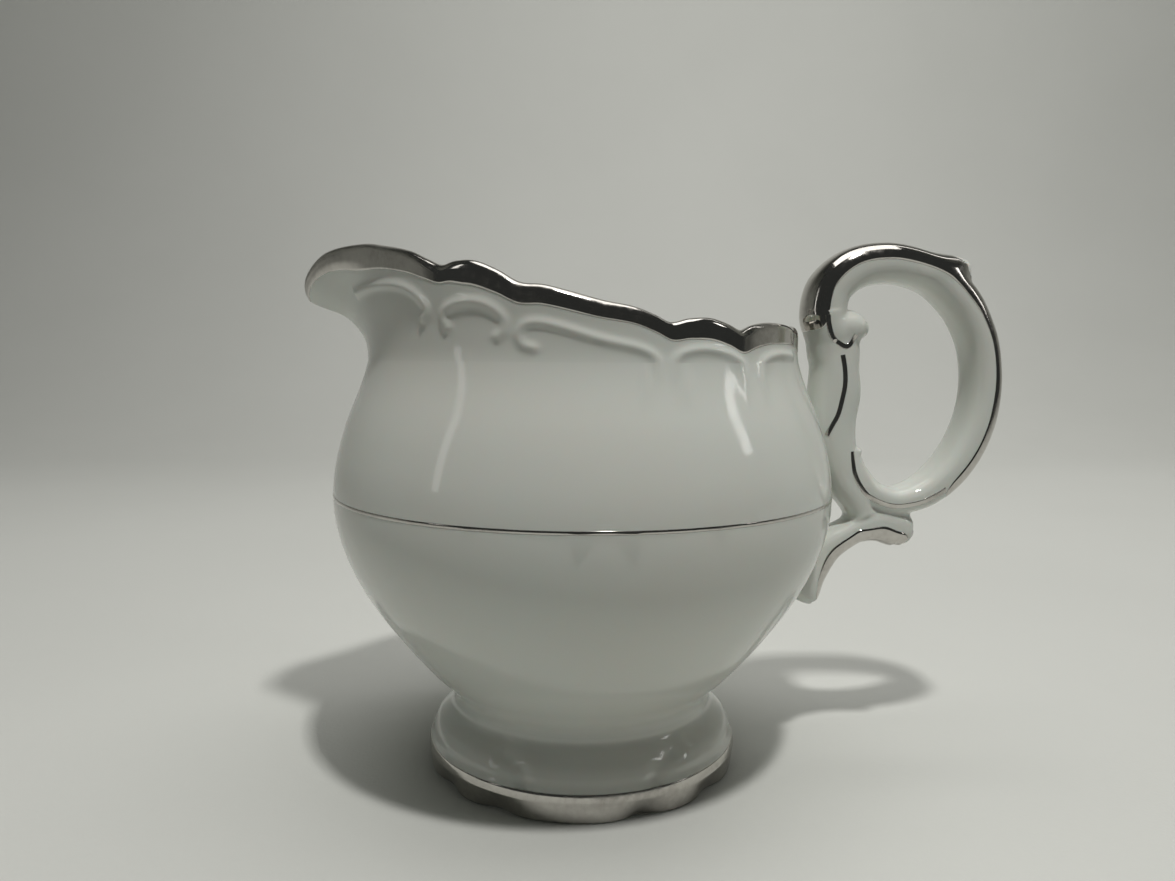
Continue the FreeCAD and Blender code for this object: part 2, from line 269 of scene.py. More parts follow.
def closed_turning(name: str, rows: Array, start: tuple, end: tuple) -> bpy.types.Object:
    """A closed round piece from rows of points, with a pole at each end.

    Args:
        name: The object's name.
        rows: Rows of points round the axis, from one pole to the other.
        start: The pole before the first row, in millimetres.
        end: The pole after the last row.

    Returns:
        The piece, with its faces outwards.
    """
    count, columns = rows.shape[:2]
    points = np.concatenate([rows.reshape(-1, 3), [start, end]])
    j = np.arange(columns)
    beside = (j + 1) % columns
    first, last = count * columns, count * columns + 1
    base = (count - 1) * columns
    fans = [
        np.stack([np.full(columns, first), beside, j], axis=1),
        np.stack([np.full(columns, last), base + j, base + beside], axis=1),
    ]
    made = make_object(name, points, [grid_faces(count, columns, False, True), *fans])
    recalculated(made)
    return made


def closed_band(name: str, outer: Array, inner: Array) -> bpy.types.Object:
    """A thin closed band round the jug.

    Args:
        name: The object's name.
        outer: Rows of points round the jug on the band's outer sheet.
        inner: The same rows on its inner sheet.

    Returns:
        The band, with its faces outwards.
    """
    ring = np.concatenate([outer, inner[::-1]])
    band = make_object(name, ring, [grid_faces(ring.shape[0], ring.shape[1], True, True)])
    recalculated(band)
    return band


def settle(piece: bpy.types.Object, slot: Slot, *nodes: str) -> bpy.types.Object:
    """Join a finished piece to the jug and let it stand for CAD nodes.

    Args:
        piece: The finished piece.
        slot: The record's slot for the piece's finish; it is not used.
        nodes: The CAD nodes that it replaces.

    Returns:
        The same piece.
    """
    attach(piece, BODY)
    if nodes:
        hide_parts(*nodes)
    return piece


def dressed(piece: bpy.types.Object, finish: bpy.types.Material) -> bpy.types.Object:
    """The same piece with a finish on it."""
    piece.data.materials.clear()
    piece.data.materials.append(finish)
    return piece


# ---------------------------------------------------------------- node trees


class Tree:
    """A small helper that adds and joins the nodes of one node tree."""

    def __init__(self, tree: bpy.types.NodeTree) -> None:
        """Wrap a tree.

        Args:
            tree: A shader or geometry node tree.
        """
        self.tree = tree

    def add(self, kind: str, inputs: dict | None = None, **settings: object) -> bpy.types.Node:
        """Add a node.

        Args:
            kind: The node's type name.
            inputs: Values or output sockets for its inputs, by name or number.
            settings: Values of the node's own properties.

        Returns:
            The new node.
        """
        node = self.tree.nodes.new(kind)
        for name, value in settings.items():
            setattr(node, name, value)
        for key, value in (inputs or {}).items():
            if isinstance(value, bpy.types.NodeSocket):
                self.tree.links.new(value, node.inputs[key])
            else:
                node.inputs[key].default_value = value
        return node

    def math(self, operation: str, *values: object) -> bpy.types.NodeSocket:
        """A Math node's result from up to three values or sockets."""
        node = self.add("ShaderNodeMath", dict(enumerate(values)), operation=operation)
        return node.outputs[0]

    def vector_math(self, operation: str, *values: object) -> bpy.types.Node:
        """A Vector Math node fed with the given values or sockets."""
        return self.add("ShaderNodeVectorMath", dict(enumerate(values)), operation=operation)


class GeometryTool:
    """A Geometry Nodes tree with named inputs that turns one object into a finished mesh."""

    def __init__(self, name: str, inputs: tuple[tuple[str, str], ...]) -> None:
        """Start a tree.

        Args:
            name: The tree's name.
            inputs: (name, socket type) of each input after the geometry.
        """
        self.group = bpy.data.node_groups.new(name, "GeometryNodeTree")
        face = self.group.interface
        face.new_socket(name="Geometry", in_out="OUTPUT", socket_type="NodeSocketGeometry")
        face.new_socket(name="Geometry", in_out="INPUT", socket_type="NodeSocketGeometry")
        self.ids = {}
        for label, kind in inputs:
            self.ids[label] = face.new_socket(name=label, in_out="INPUT", socket_type=kind).identifier
        self.nodes = Tree(self.group)
        self.inputs = self.nodes.add("NodeGroupInput").outputs

    def close(self, geometry: bpy.types.NodeSocket) -> None:
        """End the tree with real geometry, smooth shading and the material.

        Args:
            geometry: The result before it is made real.
        """
        real = self.nodes.add("GeometryNodeRealizeInstances", {0: geometry})
        smooth = self.nodes.add("GeometryNodeSetShadeSmooth", {"Geometry": real.outputs[0]})
        dressed = self.nodes.add(
            "GeometryNodeSetMaterial", {"Geometry": smooth.outputs[0], "Material": self.inputs["Material"]}
        )
        self.nodes.add("NodeGroupOutput", {"Geometry": dressed.outputs[0]})

    def run(self, source: bpy.types.Object, name: str, values: dict[str, object]) -> bpy.types.Object:
        """Apply the tree to an object.

        Args:
            source: The object that the tree works on; it is used up.
            name: The finished piece's name.
            values: A value for each named input.

        Returns:
            The finished piece.
        """
        modifier = source.modifiers.new(self.group.name, "NODES")
        modifier.node_group = self.group
        for label, value in values.items():
            modifier[self.ids[label]] = value
        return plain_mesh(source, name)


def relief_tool() -> GeometryTool:
    """The tree that raises soft beads on a surface along given paths.

    Returns:
        A tool with the inputs Paths, Bead Width, Bead Height and Material.
    """
    tool = GeometryTool(
        "raise_beads",
        (
            ("Paths", "NodeSocketObject"),
            ("Bead Width", "NodeSocketFloat"),
            ("Bead Height", "NodeSocketFloat"),
            ("Material", "NodeSocketMaterial"),
        ),
    )
    add, math_node = tool.nodes.add, tool.nodes.math
    paths = add("GeometryNodeObjectInfo", {"Object": tool.inputs["Paths"]})
    near = add("GeometryNodeProximity", {0: paths.outputs["Geometry"]}, target_element="EDGES")
    share = math_node("DIVIDE", near.outputs["Distance"], tool.inputs["Bead Width"])
    bell = math_node("EXPONENT", math_node("MULTIPLY", math_node("MULTIPLY", share, share), -1.0))
    height = math_node("MULTIPLY", bell, tool.inputs["Bead Height"])
    normal = add("GeometryNodeInputNormal")
    lift = tool.nodes.vector_math("SCALE", normal.outputs[0])
    tool.group.links.new(height, lift.inputs["Scale"])
    raised = add(
        "GeometryNodeSetPosition", {"Geometry": tool.inputs["Geometry"], "Offset": lift.outputs[0]}
    )
    tool.close(raised.outputs[0])
    return tool


def line_tool() -> GeometryTool:
    """The tree that lays a flat painted line along a path, turned to its surface.

    Returns:
        A tool with the inputs Line Width, Line Height and Material. The path's points
        carry the attributes surface_normal and taper.
    """
    tool = GeometryTool(
        "painted_line",
        (
            ("Line Width", "NodeSocketFloat"),
            ("Line Height", "NodeSocketFloat"),
            ("Material", "NodeSocketMaterial"),
        ),
    )
    add = tool.nodes.add
    curve = add("GeometryNodeMeshToCurve", {"Mesh": tool.inputs["Geometry"]})
    normal = add("GeometryNodeInputNamedAttribute", {"Name": "surface_normal"}, data_type="FLOAT_VECTOR")
    turned = add(
        "GeometryNodeSetCurveNormal",
        {"Curve": curve.outputs[0], "Normal": normal.outputs["Attribute"]},
        mode="FREE",
    )
    taper = add("GeometryNodeInputNamedAttribute", {"Name": "taper"}, data_type="FLOAT")
    tapered = add(
        "GeometryNodeSetCurveRadius", {"Curve": turned.outputs[0], "Radius": taper.outputs["Attribute"]}
    )
    profile = add("GeometryNodeCurvePrimitiveCircle", {"Resolution": 16, "Radius": 0.5})
    size = add("ShaderNodeCombineXYZ", {0: tool.inputs["Line Height"], 1: tool.inputs["Line Width"], 2: 1.0})
    flat = add("GeometryNodeTransform", {"Geometry": profile.outputs["Curve"], "Scale": size.outputs[0]})
    line = add(
        "GeometryNodeCurveToMesh",
        {"Curve": tapered.outputs[0], "Profile Curve": flat.outputs[0], "Fill Caps": True},
    )
    tool.close(line.outputs[0])
    return tool


# ---------------------------------------------------------------- finishes


class Finish:
    """The start of every material: a Principled shader and the object's own coordinates."""

    def __init__(self, name: str) -> None:
        """Make an empty material with its shader.

        Args:
            name: The material's name.
        """
        self.material = bpy.data.materials.new(name)
        self.material.use_nodes = True
        self.material.node_tree.nodes.clear()
        self.nodes = Tree(self.material.node_tree)
        self.shader = self.nodes.add("ShaderNodeBsdfPrincipled")
        self.nodes.add("ShaderNodeOutputMaterial", {"Surface": self.shader.outputs[0]})
        self.place = self.nodes.add("ShaderNodeTexCoord").outputs["Object"]

    def noise(self, scale: float, detail: float, stretch: tuple | None = None) -> bpy.types.NodeSocket:
        """Noise on the object's own coordinates.

        Args:
            scale: Cells per metre.
            detail: Octaves.
            stretch: Scale along each axis, where the pattern is drawn out.

        Returns:
            The noise, about 0 to 1.
        """
        place = self.place
        if stretch is not None:
            place = self.nodes.add("ShaderNodeMapping", {"Vector": place, "Scale": stretch}).outputs[0]
        node = self.nodes.add("ShaderNodeTexNoise", {"Vector": place, "Scale": scale, "Detail": detail})
        return node.outputs[0]

    def blend(self, share: bpy.types.NodeSocket, low: tuple, high: tuple) -> bpy.types.NodeSocket:
        """A colour between two, by a share from 0 to 1."""
        ramp = self.nodes.add("ShaderNodeValToRGB", {"Fac": share})
        ramp.color_ramp.elements[0].color, ramp.color_ramp.elements[1].color = low, high
        ramp.color_ramp.elements[0].position, ramp.color_ramp.elements[1].position = 0.3, 0.7
        return ramp.outputs[0]

    def spread(self, share: bpy.types.NodeSocket, edges: tuple, values: tuple) -> bpy.types.NodeSocket:
        """A number that goes from one value to another while the share crosses the edges."""
        node = self.nodes.add("ShaderNodeMapRange", {0: share, 1: edges[0], 2: edges[1], 3: values[0]})
        node.inputs[4].default_value = values[1]
        return node.outputs[0]

    def bump(self, height: bpy.types.NodeSocket, depth_mm: float, under: object = None) -> object:
        """A bump of the given depth, over another one where it is given."""
        inputs = {"Height": height, "Strength": 1.0, "Distance": depth_mm * MM}
        if under is not None:
            inputs["Normal"] = under
        return self.nodes.add("ShaderNodeBump", inputs).outputs[0]

    def link(self, **sockets: bpy.types.NodeSocket) -> None:
        """Join sockets to the shader's inputs; an underscore stands for a space."""
        for name, socket in sockets.items():
            self.nodes.tree.links.new(socket, self.shader.inputs[name.replace("_", " ")])

    def fix(self, **values: object) -> None:
        """Set the shader's inputs that are the same all over."""
        for name, value in values.items():
            self.shader.inputs[name.replace("_", " ")].default_value = value


@dataclass(frozen=True)
class Porcelain:
    """White hard-paste porcelain under a clear, slightly uneven glaze."""

    name: str = "glazed_porcelain"
    cool: Color = (0.66, 0.69, 0.645, 1.0)
    warm: Color = (0.67, 0.675, 0.62, 1.0)
    gloss: tuple[float, float] = (0.05, 0.12)
    gloss_cells: float = 160.0
    drift_cells: float = 24.0
    ripple_cells: float = 75.0
    ripple_mm: float = 0.05
    grain_cells: float = 1500.0
    grain_mm: float = 0.0025

    def make(self) -> bpy.types.Material:
        """The material: colour drift in the body, and a glaze with ripples and fine grain."""
        finish = Finish(self.name)
        drift = finish.noise(self.drift_cells, 3.0)
        grain = finish.noise(self.grain_cells, 2.0)
        ripple = finish.bump(finish.noise(self.ripple_cells, 1.0), self.ripple_mm)
        finish.link(
            Base_Color=finish.blend(drift, self.cool, self.warm),
            Roughness=finish.spread(finish.noise(self.gloss_cells, 4.0), (0.35, 0.7), self.gloss),
            Normal=finish.bump(grain, self.grain_mm, ripple),
        )
        finish.fix(IOR=1.52, Subsurface_Weight=0.1, Subsurface_Scale=0.0015)
        return finish.material


@dataclass(frozen=True)
class Platinum:
    """Fired platinum lustre: a dark mirror, rubbed and mottled in places."""

    name: str = "platinum_lustre"
    bright: Color = (0.60, 0.58, 0.545, 1.0)
    worn: Color = (0.46, 0.44, 0.41, 1.0)
    gloss: tuple[float, float] = (0.08, 0.27)
    patch_cells: float = 95.0
    speck_cells: float = 900.0
    mottle_cells: float = 130.0
    mottle_mm: float = 0.02
    brush_cells: float = 700.0
    brush_stretch: tuple[float, float, float] = (0.25, 0.25, 1.0)
    brush_mm: float = 0.006

    def make(self) -> bpy.types.Material:
        """The material: a mirror film with worn patches, brush marks and pitting."""
        finish = Finish(self.name)
        patches = finish.noise(self.patch_cells, 5.0)
        specks = finish.noise(self.speck_cells, 3.0)
        worn = finish.nodes.math("MULTIPLY", patches, finish.nodes.math("ADD", specks, 0.45))
        brush = finish.bump(finish.noise(self.brush_cells, 2.0, self.brush_stretch), self.brush_mm)
        finish.link(
            Base_Color=finish.blend(worn, self.bright, self.worn),
            Roughness=finish.spread(worn, (0.42, 0.72), self.gloss),
            Normal=finish.bump(finish.noise(self.mottle_cells, 2.0), self.mottle_mm, brush),
        )
        finish.fix(Metallic=1.0)
        return finish.material


@dataclass(frozen=True)
class Paper:
    """The matt paper that the studio is lined with."""

    name: str = "studio_paper"
    light: Color = (0.62, 0.63, 0.60, 1.0)
    shade: Color = (0.60, 0.61, 0.58, 1.0)
    cloud_cells: float = 6.0
    grain_cells: float = 1200.0
    grain_mm: float = 0.05

    def make(self) -> bpy.types.Material:
        """The material: faint cloudiness and a paper grain."""
        finish = Finish(self.name)
        finish.link(
            Base_Color=finish.blend(finish.noise(self.cloud_cells, 4.0), self.light, self.shade),
            Normal=finish.bump(finish.noise(self.grain_cells, 2.0), self.grain_mm),
        )
        finish.fix(Roughness=0.8)
        return finish.material


# ---------------------------------------------------------------- bowl


@dataclass(frozen=True)
class Wall:
    """The rule of the bowl's wall, in millimetres and in degrees from the spout.

    Rows 0 to 1 climb the turned body, and rows 1 to 2 the neck up to the lip's outer edge.
    """

    belly_radius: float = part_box("bowl")[1].y / MM
    waist_height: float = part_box("foot")[1].z / MM
    waist_radius: float = 25.6
    belly_height: float = 54.3
    shoulder_top: float = 79.0
    wall: float = 3.0
    lip_wall: float = 2.2
    floor_height: float = 17.0
    spout_reach: float = 11.5
    spout_spread: float = 14.9
    crowding: float = 0.6
    body_below: Points = (
        (25.72, 14.6), (27.0, 16.5), (30.6, 20.0), (34.0, 24.0), (37.1, 28.0), (40.7, 33.0), (43.7, 38.0),
        (46.3, 44.0), (47.75, 50.0),
    )
    body_above: Points = ((47.75, 58.0), (47.0, 62.0), (45.3, 68.0), (42.9, 74.0), (41.3, 79.0))
    neck: Points = ((74.0, 42.9), (79.0, 41.3), (84.0, 41.0), (89.0, 41.3), (95.0, 41.7), (103.0, 42.2))
    lip_heights: Points = (
        (0.0, 92.2), (4.5, 94.9), (11.0, 98.3), (20.0, 99.2), (30.0, 98.3), (41.0, 96.8), (47.0, 95.2),
        (51.5, 94.1), (55.5, 94.6), (60.5, 94.5), (66.0, 93.0), (71.0, 91.1), (76.5, 90.7),
        (89.0, 88.4), (96.0, 87.5), (101.0, 86.3), (104.5, 85.3), (109.0, 85.9), (114.5, 86.1),
        (120.0, 85.3), (124.0, 84.4), (129.0, 85.3), (136.0, 85.8), (148.0, 85.6), (153.5, 84.9),
        (158.0, 84.2), (163.0, 85.2), (169.0, 86.0), (180.0, 86.1),
    )
    spout_growth: Points = (
        (0.0, 0.0), (0.26, 0.08), (0.46, 0.185), (0.60, 0.30), (0.73, 0.48), (0.83, 0.76),
        (0.91, 0.94), (1.0, 1.0),
    )

    def profile(self) -> Array:
        """The body's outline, as (radius, height) points from the waist to the shoulder."""
        waist = ((self.waist_radius, self.waist_height),)
        belly = ((self.belly_radius, self.belly_height),)
        return np.array(waist + self.body_below + belly + self.body_above)

    def columns(self, count: int) -> Array:
        """Angles round the jug, in degrees from the spout, crowded towards the spout."""
        turns = np.arange(count) / count
        return 360 * turns - np.degrees(self.crowding * np.sin(2 * np.pi * turns))

    @staticmethod
    def aside(angle: Array) -> Array:
        """How far an angle lies from the spout, 0 to 180 degrees."""
        return np.abs((angle + 180) % 360 - 180)

    @staticmethod
    def place(angle: Array, radius: Array, height: Array) -> Array:
        """Points at angles from the spout, which lies on -X."""
        turn = np.radians(180 + angle)
        return np.stack(np.broadcast_arrays(radius * np.cos(turn), radius * np.sin(turn), height), axis=-1)

    def lip_edge(self, angle: Array) -> Array:
        """Height of the lip's outer edge, below its rounded top."""
        return smooth_through(self.lip_heights, self.aside(angle)) - self.lip_wall / 2

    def point(self, angle: Array, row: Array) -> Array:
        """Points of the outer surface.

        Args:
            angle: Degrees from the spout.
            row: 0 at the waist, 1 at the shoulder, 2 at the lip.

        Returns:
            The points, in millimetres.
        """
        angle, row = np.broadcast_arrays(np.asarray(angle, float), np.asarray(row, float))
        outline = np.concatenate([self.profile(), [self.neck[2][::-1]]])
        shares = np.arange(len(outline)) / (len(outline) - 2)
        body_radius = smooth_through(tuple(zip(shares, outline[:, 0])), row)
        body_height = smooth_through(tuple(zip(shares, outline[:, 1])), row)
        share = np.clip(row - 1, 0, 1)
        height = self.shoulder_top + share * (self.lip_edge(angle) - self.shoulder_top)
        spread = np.exp(-((self.aside(angle) / self.spout_spread) ** 2))
        bulge = self.spout_reach * spread * smooth_through(self.spout_growth, share)
        radius = np.where(row <= 1, body_radius, smooth_through(self.neck, height) + bulge)
        return self.place(angle, radius, np.where(row <= 1, body_height, height))

    def directions(self, angle: Array, row: Array) -> tuple[Array, Array]:
        """The wall's outward normal and upward direction at points."""
        step = 1e-4
        up = self.point(angle, np.minimum(row + step, 2)) - self.point(angle, np.maximum(row - step, 0))
        beside = self.point(angle + step, row) - self.point(angle - step, row)
        return unit(np.cross(beside, up)), unit(up)

    def skin(self, angle: Array, row: Array, outside: bool, lift: float = 0.0) -> Array:
        """Points of the outer or inner surface, moved off the porcelain by a lift."""
        angle, row = np.broadcast_arrays(np.asarray(angle, float), np.asarray(row, float))
        normal, _ = self.directions(angle, row)
        thickness = self.wall + np.clip(row - 1, 0, 1) * (self.lip_wall - self.wall)
        shift = np.full_like(row, lift) if outside else -thickness - lift
        return self.point(angle, row) + normal * shift[..., None]

    def lip(self, angle: Array, turn: Array, lift: float = 0.0) -> Array:
        """Points of the rounded lip: turn 0 is its outer edge and 180 its inner edge."""
        angle, turn = np.broadcast_arrays(np.asarray(angle, float), np.radians(np.asarray(turn, float)))
        top = np.full_like(angle, 2.0)
        normal, up = self.directions(angle, top)
        half = self.lip_wall / 2
        arm = normal * np.cos(turn)[..., None] + up * np.sin(turn)[..., None]
        return self.point(angle, top) - normal * half + arm * (half + lift)

    def row_below_lip(self, angle: Array, drop: Array) -> Array:
        """The row that lies a given distance below the lip's edge."""
        return 2 - drop / (self.lip_edge(angle) - self.shoulder_top)

    def row_at(self, angle: Array, height: Array) -> Array:
        """The row at a given height."""
        rows = np.linspace(0, 1, 200)
        body = np.interp(height, self.point(0.0, rows)[:, 2], rows)
        neck = 1 + (height - self.shoulder_top) / (self.lip_edge(angle) - self.shoulder_top)
        return np.where(height < self.shoulder_top, body, neck)


@dataclass(frozen=True)
class Bowl:
    """The slip-cast bowl: body, pulled spout, wavy lip and moulded scrolls under it."""

    wall: Wall = Wall()
    columns: int = 560
    body_rows: int = 30
    neck_rows: int = 66
    lip_rows: int = 9
    inner_rows: int = 28
    edge_row: float = 0.002
    hidden_rings: tuple[float, ...] = (10.0, 22.0)
    floor_fillet: float = 1.0
    floor_insets: tuple[float, ...] = (0.35, 0.9, 1.7, 2.8, 4.5, 10.0)
    floor_rises: tuple[float, ...] = (0.62, 0.32, 0.12, 0.03, 0.0, 0.0)
    bead_width: float = 0.8
    bead_height: float = 0.4
    scroll_points: int = 12
    scrolls: tuple[Points, ...] = (
        ((13.5, 91.2), (24.3, 91.9), (36.6, 91.5), (43.0, 90.2), (46.8, 88.2), (47.5, 86.9), (46.3, 86.0)),
        (
            (53.4, 84.4), (52.4, 85.9), (53.5, 87.4), (57.4, 88.3), (61.9, 88.2), (65.4, 87.2),
            (67.6, 85.6), (67.5, 83.9), (66.2, 82.9),
        ),
        (
            (74.2, 81.2), (72.0, 81.8), (71.1, 83.3), (72.3, 84.7), (75.0, 85.1), (80.0, 84.4),
            (88.4, 82.6), (97.0, 81.2), (100.5, 79.8), (100.7, 78.0), (97.9, 76.8),
        ),
        (
            (107.3, 76.3), (104.8, 77.3), (104.7, 79.1), (107.1, 80.6), (112.4, 81.2), (118.8, 80.5),
            (123.3, 78.8), (122.9, 76.5),
        ),
        ((129.8, 75.0), (128.9, 77.3), (131.3, 79.5), (138.1, 80.5), (148.1, 80.3)),
    )

    def rows(self) -> Array:
        """Rows of points from under the waist, over the lip and down to the floor inside."""
        wall, angles = self.wall, self.wall.columns(self.columns)[None, :]
        body = np.insert(np.linspace(0, 1, self.body_rows), 1, self.edge_row)[:, None]
        neck = (1 + np.linspace(0, 1, self.neck_rows + 1)[1:])[:, None]
        turns = np.linspace(0, 180, self.lip_rows + 2)[1:-1, None]
        inner_neck = (1 + np.linspace(1, 0, self.inner_rows))[:, None]
        inner_body = np.linspace(1, 0, self.inner_rows)[1:, None]
        inside = wall.skin(angles, np.concatenate([inner_neck, inner_body]), False)
        inside = inside[inside[..., 2].min(axis=1) > wall.floor_height + self.floor_fillet]
        floor_edge = np.hypot(inside[-1, 0, 0], inside[-1, 0, 1])
        insets, rises = (np.array(values)[:, None] for values in (self.floor_insets, self.floor_rises))
        floor = wall.place(angles, floor_edge - insets, wall.floor_height + rises)
        under = wall.place(angles, np.array(self.hidden_rings)[:, None], wall.waist_height)
        outside = wall.skin(angles, np.concatenate([body, neck]), True)
        return np.concatenate([under, outside, wall.lip(angles, turns), inside, floor])

    def scroll_paths(self) -> bpy.types.Object:
        """The scrolls' middle lines on the wall, on both sides, as loose edges."""
        paths = []
        for scroll in self.scrolls:
            line = np.array(scroll)
            share = np.linspace(0, len(line) - 1, self.scroll_points * len(line))
            angle, height = (smooth_through(tuple(enumerate(line[:, i])), share) for i in (0, 1))
            for side in Side:
                turned = angle * side.value
                paths.append(self.wall.skin(turned, self.wall.row_at(turned, height), True))
        return loose_paths("scroll_paths", paths)

    def build(self) -> bpy.types.Object:
        """The bowl with its moulded relief, without a finish."""
        wall = self.wall
        under, floor = (0.0, 0.0, wall.waist_height), (0.0, 0.0, wall.floor_height)
        return closed_turning("bowl_blank", self.rows(), under, floor)

    def dress(self, porcelain: bpy.types.Material) -> bpy.types.Object:
        """The finished bowl, in place of its CAD node.

        Args:
            porcelain: The bowl's finish.

        Returns:
            The bowl.
        """
        values = {
            "Paths": self.scroll_paths(),
            "Bead Width": self.bead_width * MM,
            "Bead Height": self.bead_height * MM,
            "Material": porcelain,
        }
        bowl = relief_tool().run(self.build(), "jug_bowl", values)
        return settle(bowl, Slot.PORCELAIN, "bowl")


@dataclass(frozen=True)
class RimBand:
    """Platinum over the lip, down the outside and a little way inside."""

    wall: Wall = Wall()
    columns: int = 560
    outside_drops: Points = (
        (0.0, 0.9), (6.0, 1.3), (12.0, 2.3), (20.0, 3.3), (30.0, 2.8), (41.0, 2.3), (52.0, 1.7), (59.0, 2.5),
        (71.0, 2.1), (89.0, 1.6), (104.0, 1.6), (114.0, 2.3), (124.0, 2.6), (136.0, 2.5), (158.0, 2.0),
        (180.0, 2.2),
    )
    inside_drop: float = 2.6
    rows: int = 9
    lip_rows: int = 11
    waver: float = 0.08
    waves: Waves = ((7.0, 0.6, 1.0), (17.0, 2.0, 0.6))

    def sheet(self, lift: float) -> Array:
        """The band's outer or inner sheet, as rows of points from outside to inside."""
        wall, angles = self.wall, self.wall.columns(self.columns)[None, :]
        hand = self.waver * hand_waver(np.radians(angles), self.waves)
        share = np.linspace(1, 0, self.rows)[:, None]
        drop = smooth_through(self.outside_drops, wall.aside(angles)) + hand
        outer = wall.skin(angles, wall.row_below_lip(angles, drop * share), True, lift)
        lip = wall.lip(angles, np.linspace(0, 180, self.lip_rows + 2)[1:-1, None], lift)
        depth = (self.inside_drop - hand) * (1 - share)
        inner = wall.skin(angles, wall.row_below_lip(angles, depth), False, lift)
        return np.concatenate([outer, lip, inner])

    def dress(self, platinum: bpy.types.Material) -> bpy.types.Object:
        """The finished band, in place of its CAD node."""
        band = closed_band("rim_platinum", self.sheet(FILM_LIFT), self.sheet(FILM_SUNK))
        return settle(dressed(band, platinum), Slot.PLATINUM, "rim_band")


@dataclass(frozen=True)
class Foot:
    """The pedestal foot: a rolled flange over a notched edge, hollowed underneath."""

    wall: Wall = Wall()
    radius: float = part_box("foot")[1].y / MM
    crease_height: float = 3.9
    flange: Points = (
        (5.2, 0.25), (6.4, 0.75), (7.8, 1.15), (9.2, 1.95), (10.3, 3.2), (11.3, 4.4), (12.2, 4.95),
    )
    bottom_radius: float = 30.1
    edge_round: float = 0.5
    notch_depth: float = 1.4
    notch_spread: float = 7.0
    notches: tuple[float, ...] = (29.0, 55.0, 106.0, 137.0)
    recess_radius: float = 23.0
    recess_depth: float = 9.0
    recess_draft: float = 3.0
    recess_edge: float = 0.3
    recess_margin: float = 0.5
    columns: int = 480
    side_rows: int = 60
    recess_rows: int = 12
    edge_row: float = 0.03
    hidden_rings: tuple[float, ...] = (12.0, 24.0)
    ceiling_rings: tuple[float, ...] = (19.0, 10.0)
    band_top: float = 5.4
    band_bottom: float = 0.3
    band_rows: int = 34
    dimple_depth: float = 0.45
    dimple_width: float = 1.5
    dimples: tuple[Points, ...] = (
        ((55.0, 9.6), (60.0, 9.2), (64.0, 8.2), (65.0, 6.8)),
        ((121.0, 9.6), (116.0, 9.2), (112.0, 8.2), (111.0, 6.8)),
    )

    def upper(self) -> Points:
        """The outline from the crease up to the waist, as (height, radius)."""
        waist = (self.wall.waist_height, self.wall.waist_radius)
        drawn_in = [(height, self.radius - inset) for height, inset in self.flange]
        return ((self.crease_height, self.radius), *drawn_in, waist)

    def outline(self, angle: Array, height: Array) -> Array:
        """The foot's radius at an angle and height, drawn in at the notches."""
        share = 1 - np.clip(height / self.crease_height, 0, 1)
        aside = self.wall.aside(angle)[..., None]
        notch = np.exp(-(((aside - np.array(self.notches)) / self.notch_spread) ** 2)).sum(-1)
        plain = self.radius + (self.bottom_radius - self.radius) * share
        above = smooth_through(self.upper(), height)
        return np.where(height >= self.crease_height, above, plain - self.notch_depth * notch * share)

    def sheet(self, heights: Array, lift: float) -> Array:
        """Rows of the outer surface at given heights, moved outwards by a lift."""
        angles = self.wall.columns(self.columns)[None, :]
        angles, heights = np.broadcast_arrays(angles, heights[:, None])
        return self.wall.place(angles, self.outline(angles, heights) + lift, heights)

    def build(self) -> bpy.types.Object:
        """The foot as one closed casting, without a finish."""
        wall, angles = self.wall, self.wall.columns(self.columns)[None, :]
        top = wall.place(angles, np.array(self.hidden_rings)[:, None], wall.waist_height)
        heights = np.linspace(wall.waist_height, self.edge_round, self.side_rows)
        side = self.sheet(np.insert(heights, 1, wall.waist_height - self.edge_row), 0.0)
        edge = self.outline(angles, np.full_like(angles, self.edge_round))
        roll = np.radians(np.array([[30.0], [60.0], [90.0]]))
        rolled = wall.place(
            angles, edge - self.edge_round * (1 - np.cos(roll)), self.edge_round * (1 - np.sin(roll))
        )
        flat = wall.place(angles, np.array([[self.recess_radius + self.recess_margin]]), 0.0)
        shares = np.linspace(0, 1, self.recess_rows)[:, None]
        deep = self.recess_edge + (self.recess_depth - self.recess_edge) * shares
        recess = wall.place(angles, self.recess_radius - self.recess_draft * shares, deep)
        ceiling = wall.place(angles, np.array(self.ceiling_rings)[:, None], self.recess_depth)
        rows = np.concatenate([top, side, rolled, flat, recess, ceiling])
        poles = (0.0, 0.0, wall.waist_height), (0.0, 0.0, self.recess_depth)
        return closed_turning("foot_blank", rows, *poles)

    def dimple_paths(self) -> bpy.types.Object:
        """Middle lines of the soft moulded dimples in the flange, on both sides."""
        paths = []
        for dimple in self.dimples:
            angle, height = (np.array(column) for column in zip(*dimple))
            for side in Side:
                paths.append(self.wall.place(angle * side.value, self.outline(angle, height), height))
        return loose_paths("dimple_paths", paths)

    def dress(self, porcelain: bpy.types.Material) -> bpy.types.Object:
        """The finished foot, in place of its CAD node."""
        values = {
            "Paths": self.dimple_paths(),
            "Bead Width": self.dimple_width * MM,
            "Bead Height": -self.dimple_depth * MM,
            "Material": porcelain,
        }
        foot = relief_tool().run(self.build(), "jug_foot", values)
        return settle(foot, Slot.PORCELAIN, "foot")

    def dress_band(self, platinum: bpy.types.Material) -> bpy.types.Object:
        """The platinum round the foot's edge, in place of its CAD node."""
        heights = np.linspace(self.band_top, self.band_bottom, self.band_rows)
        band = closed_band("foot_platinum", self.sheet(heights, FILM_LIFT), self.sheet(heights, FILM_SUNK))
        return settle(dressed(band, platinum), Slot.PLATINUM, "foot_band")


# ---------------------------------------------------------------- painted lines


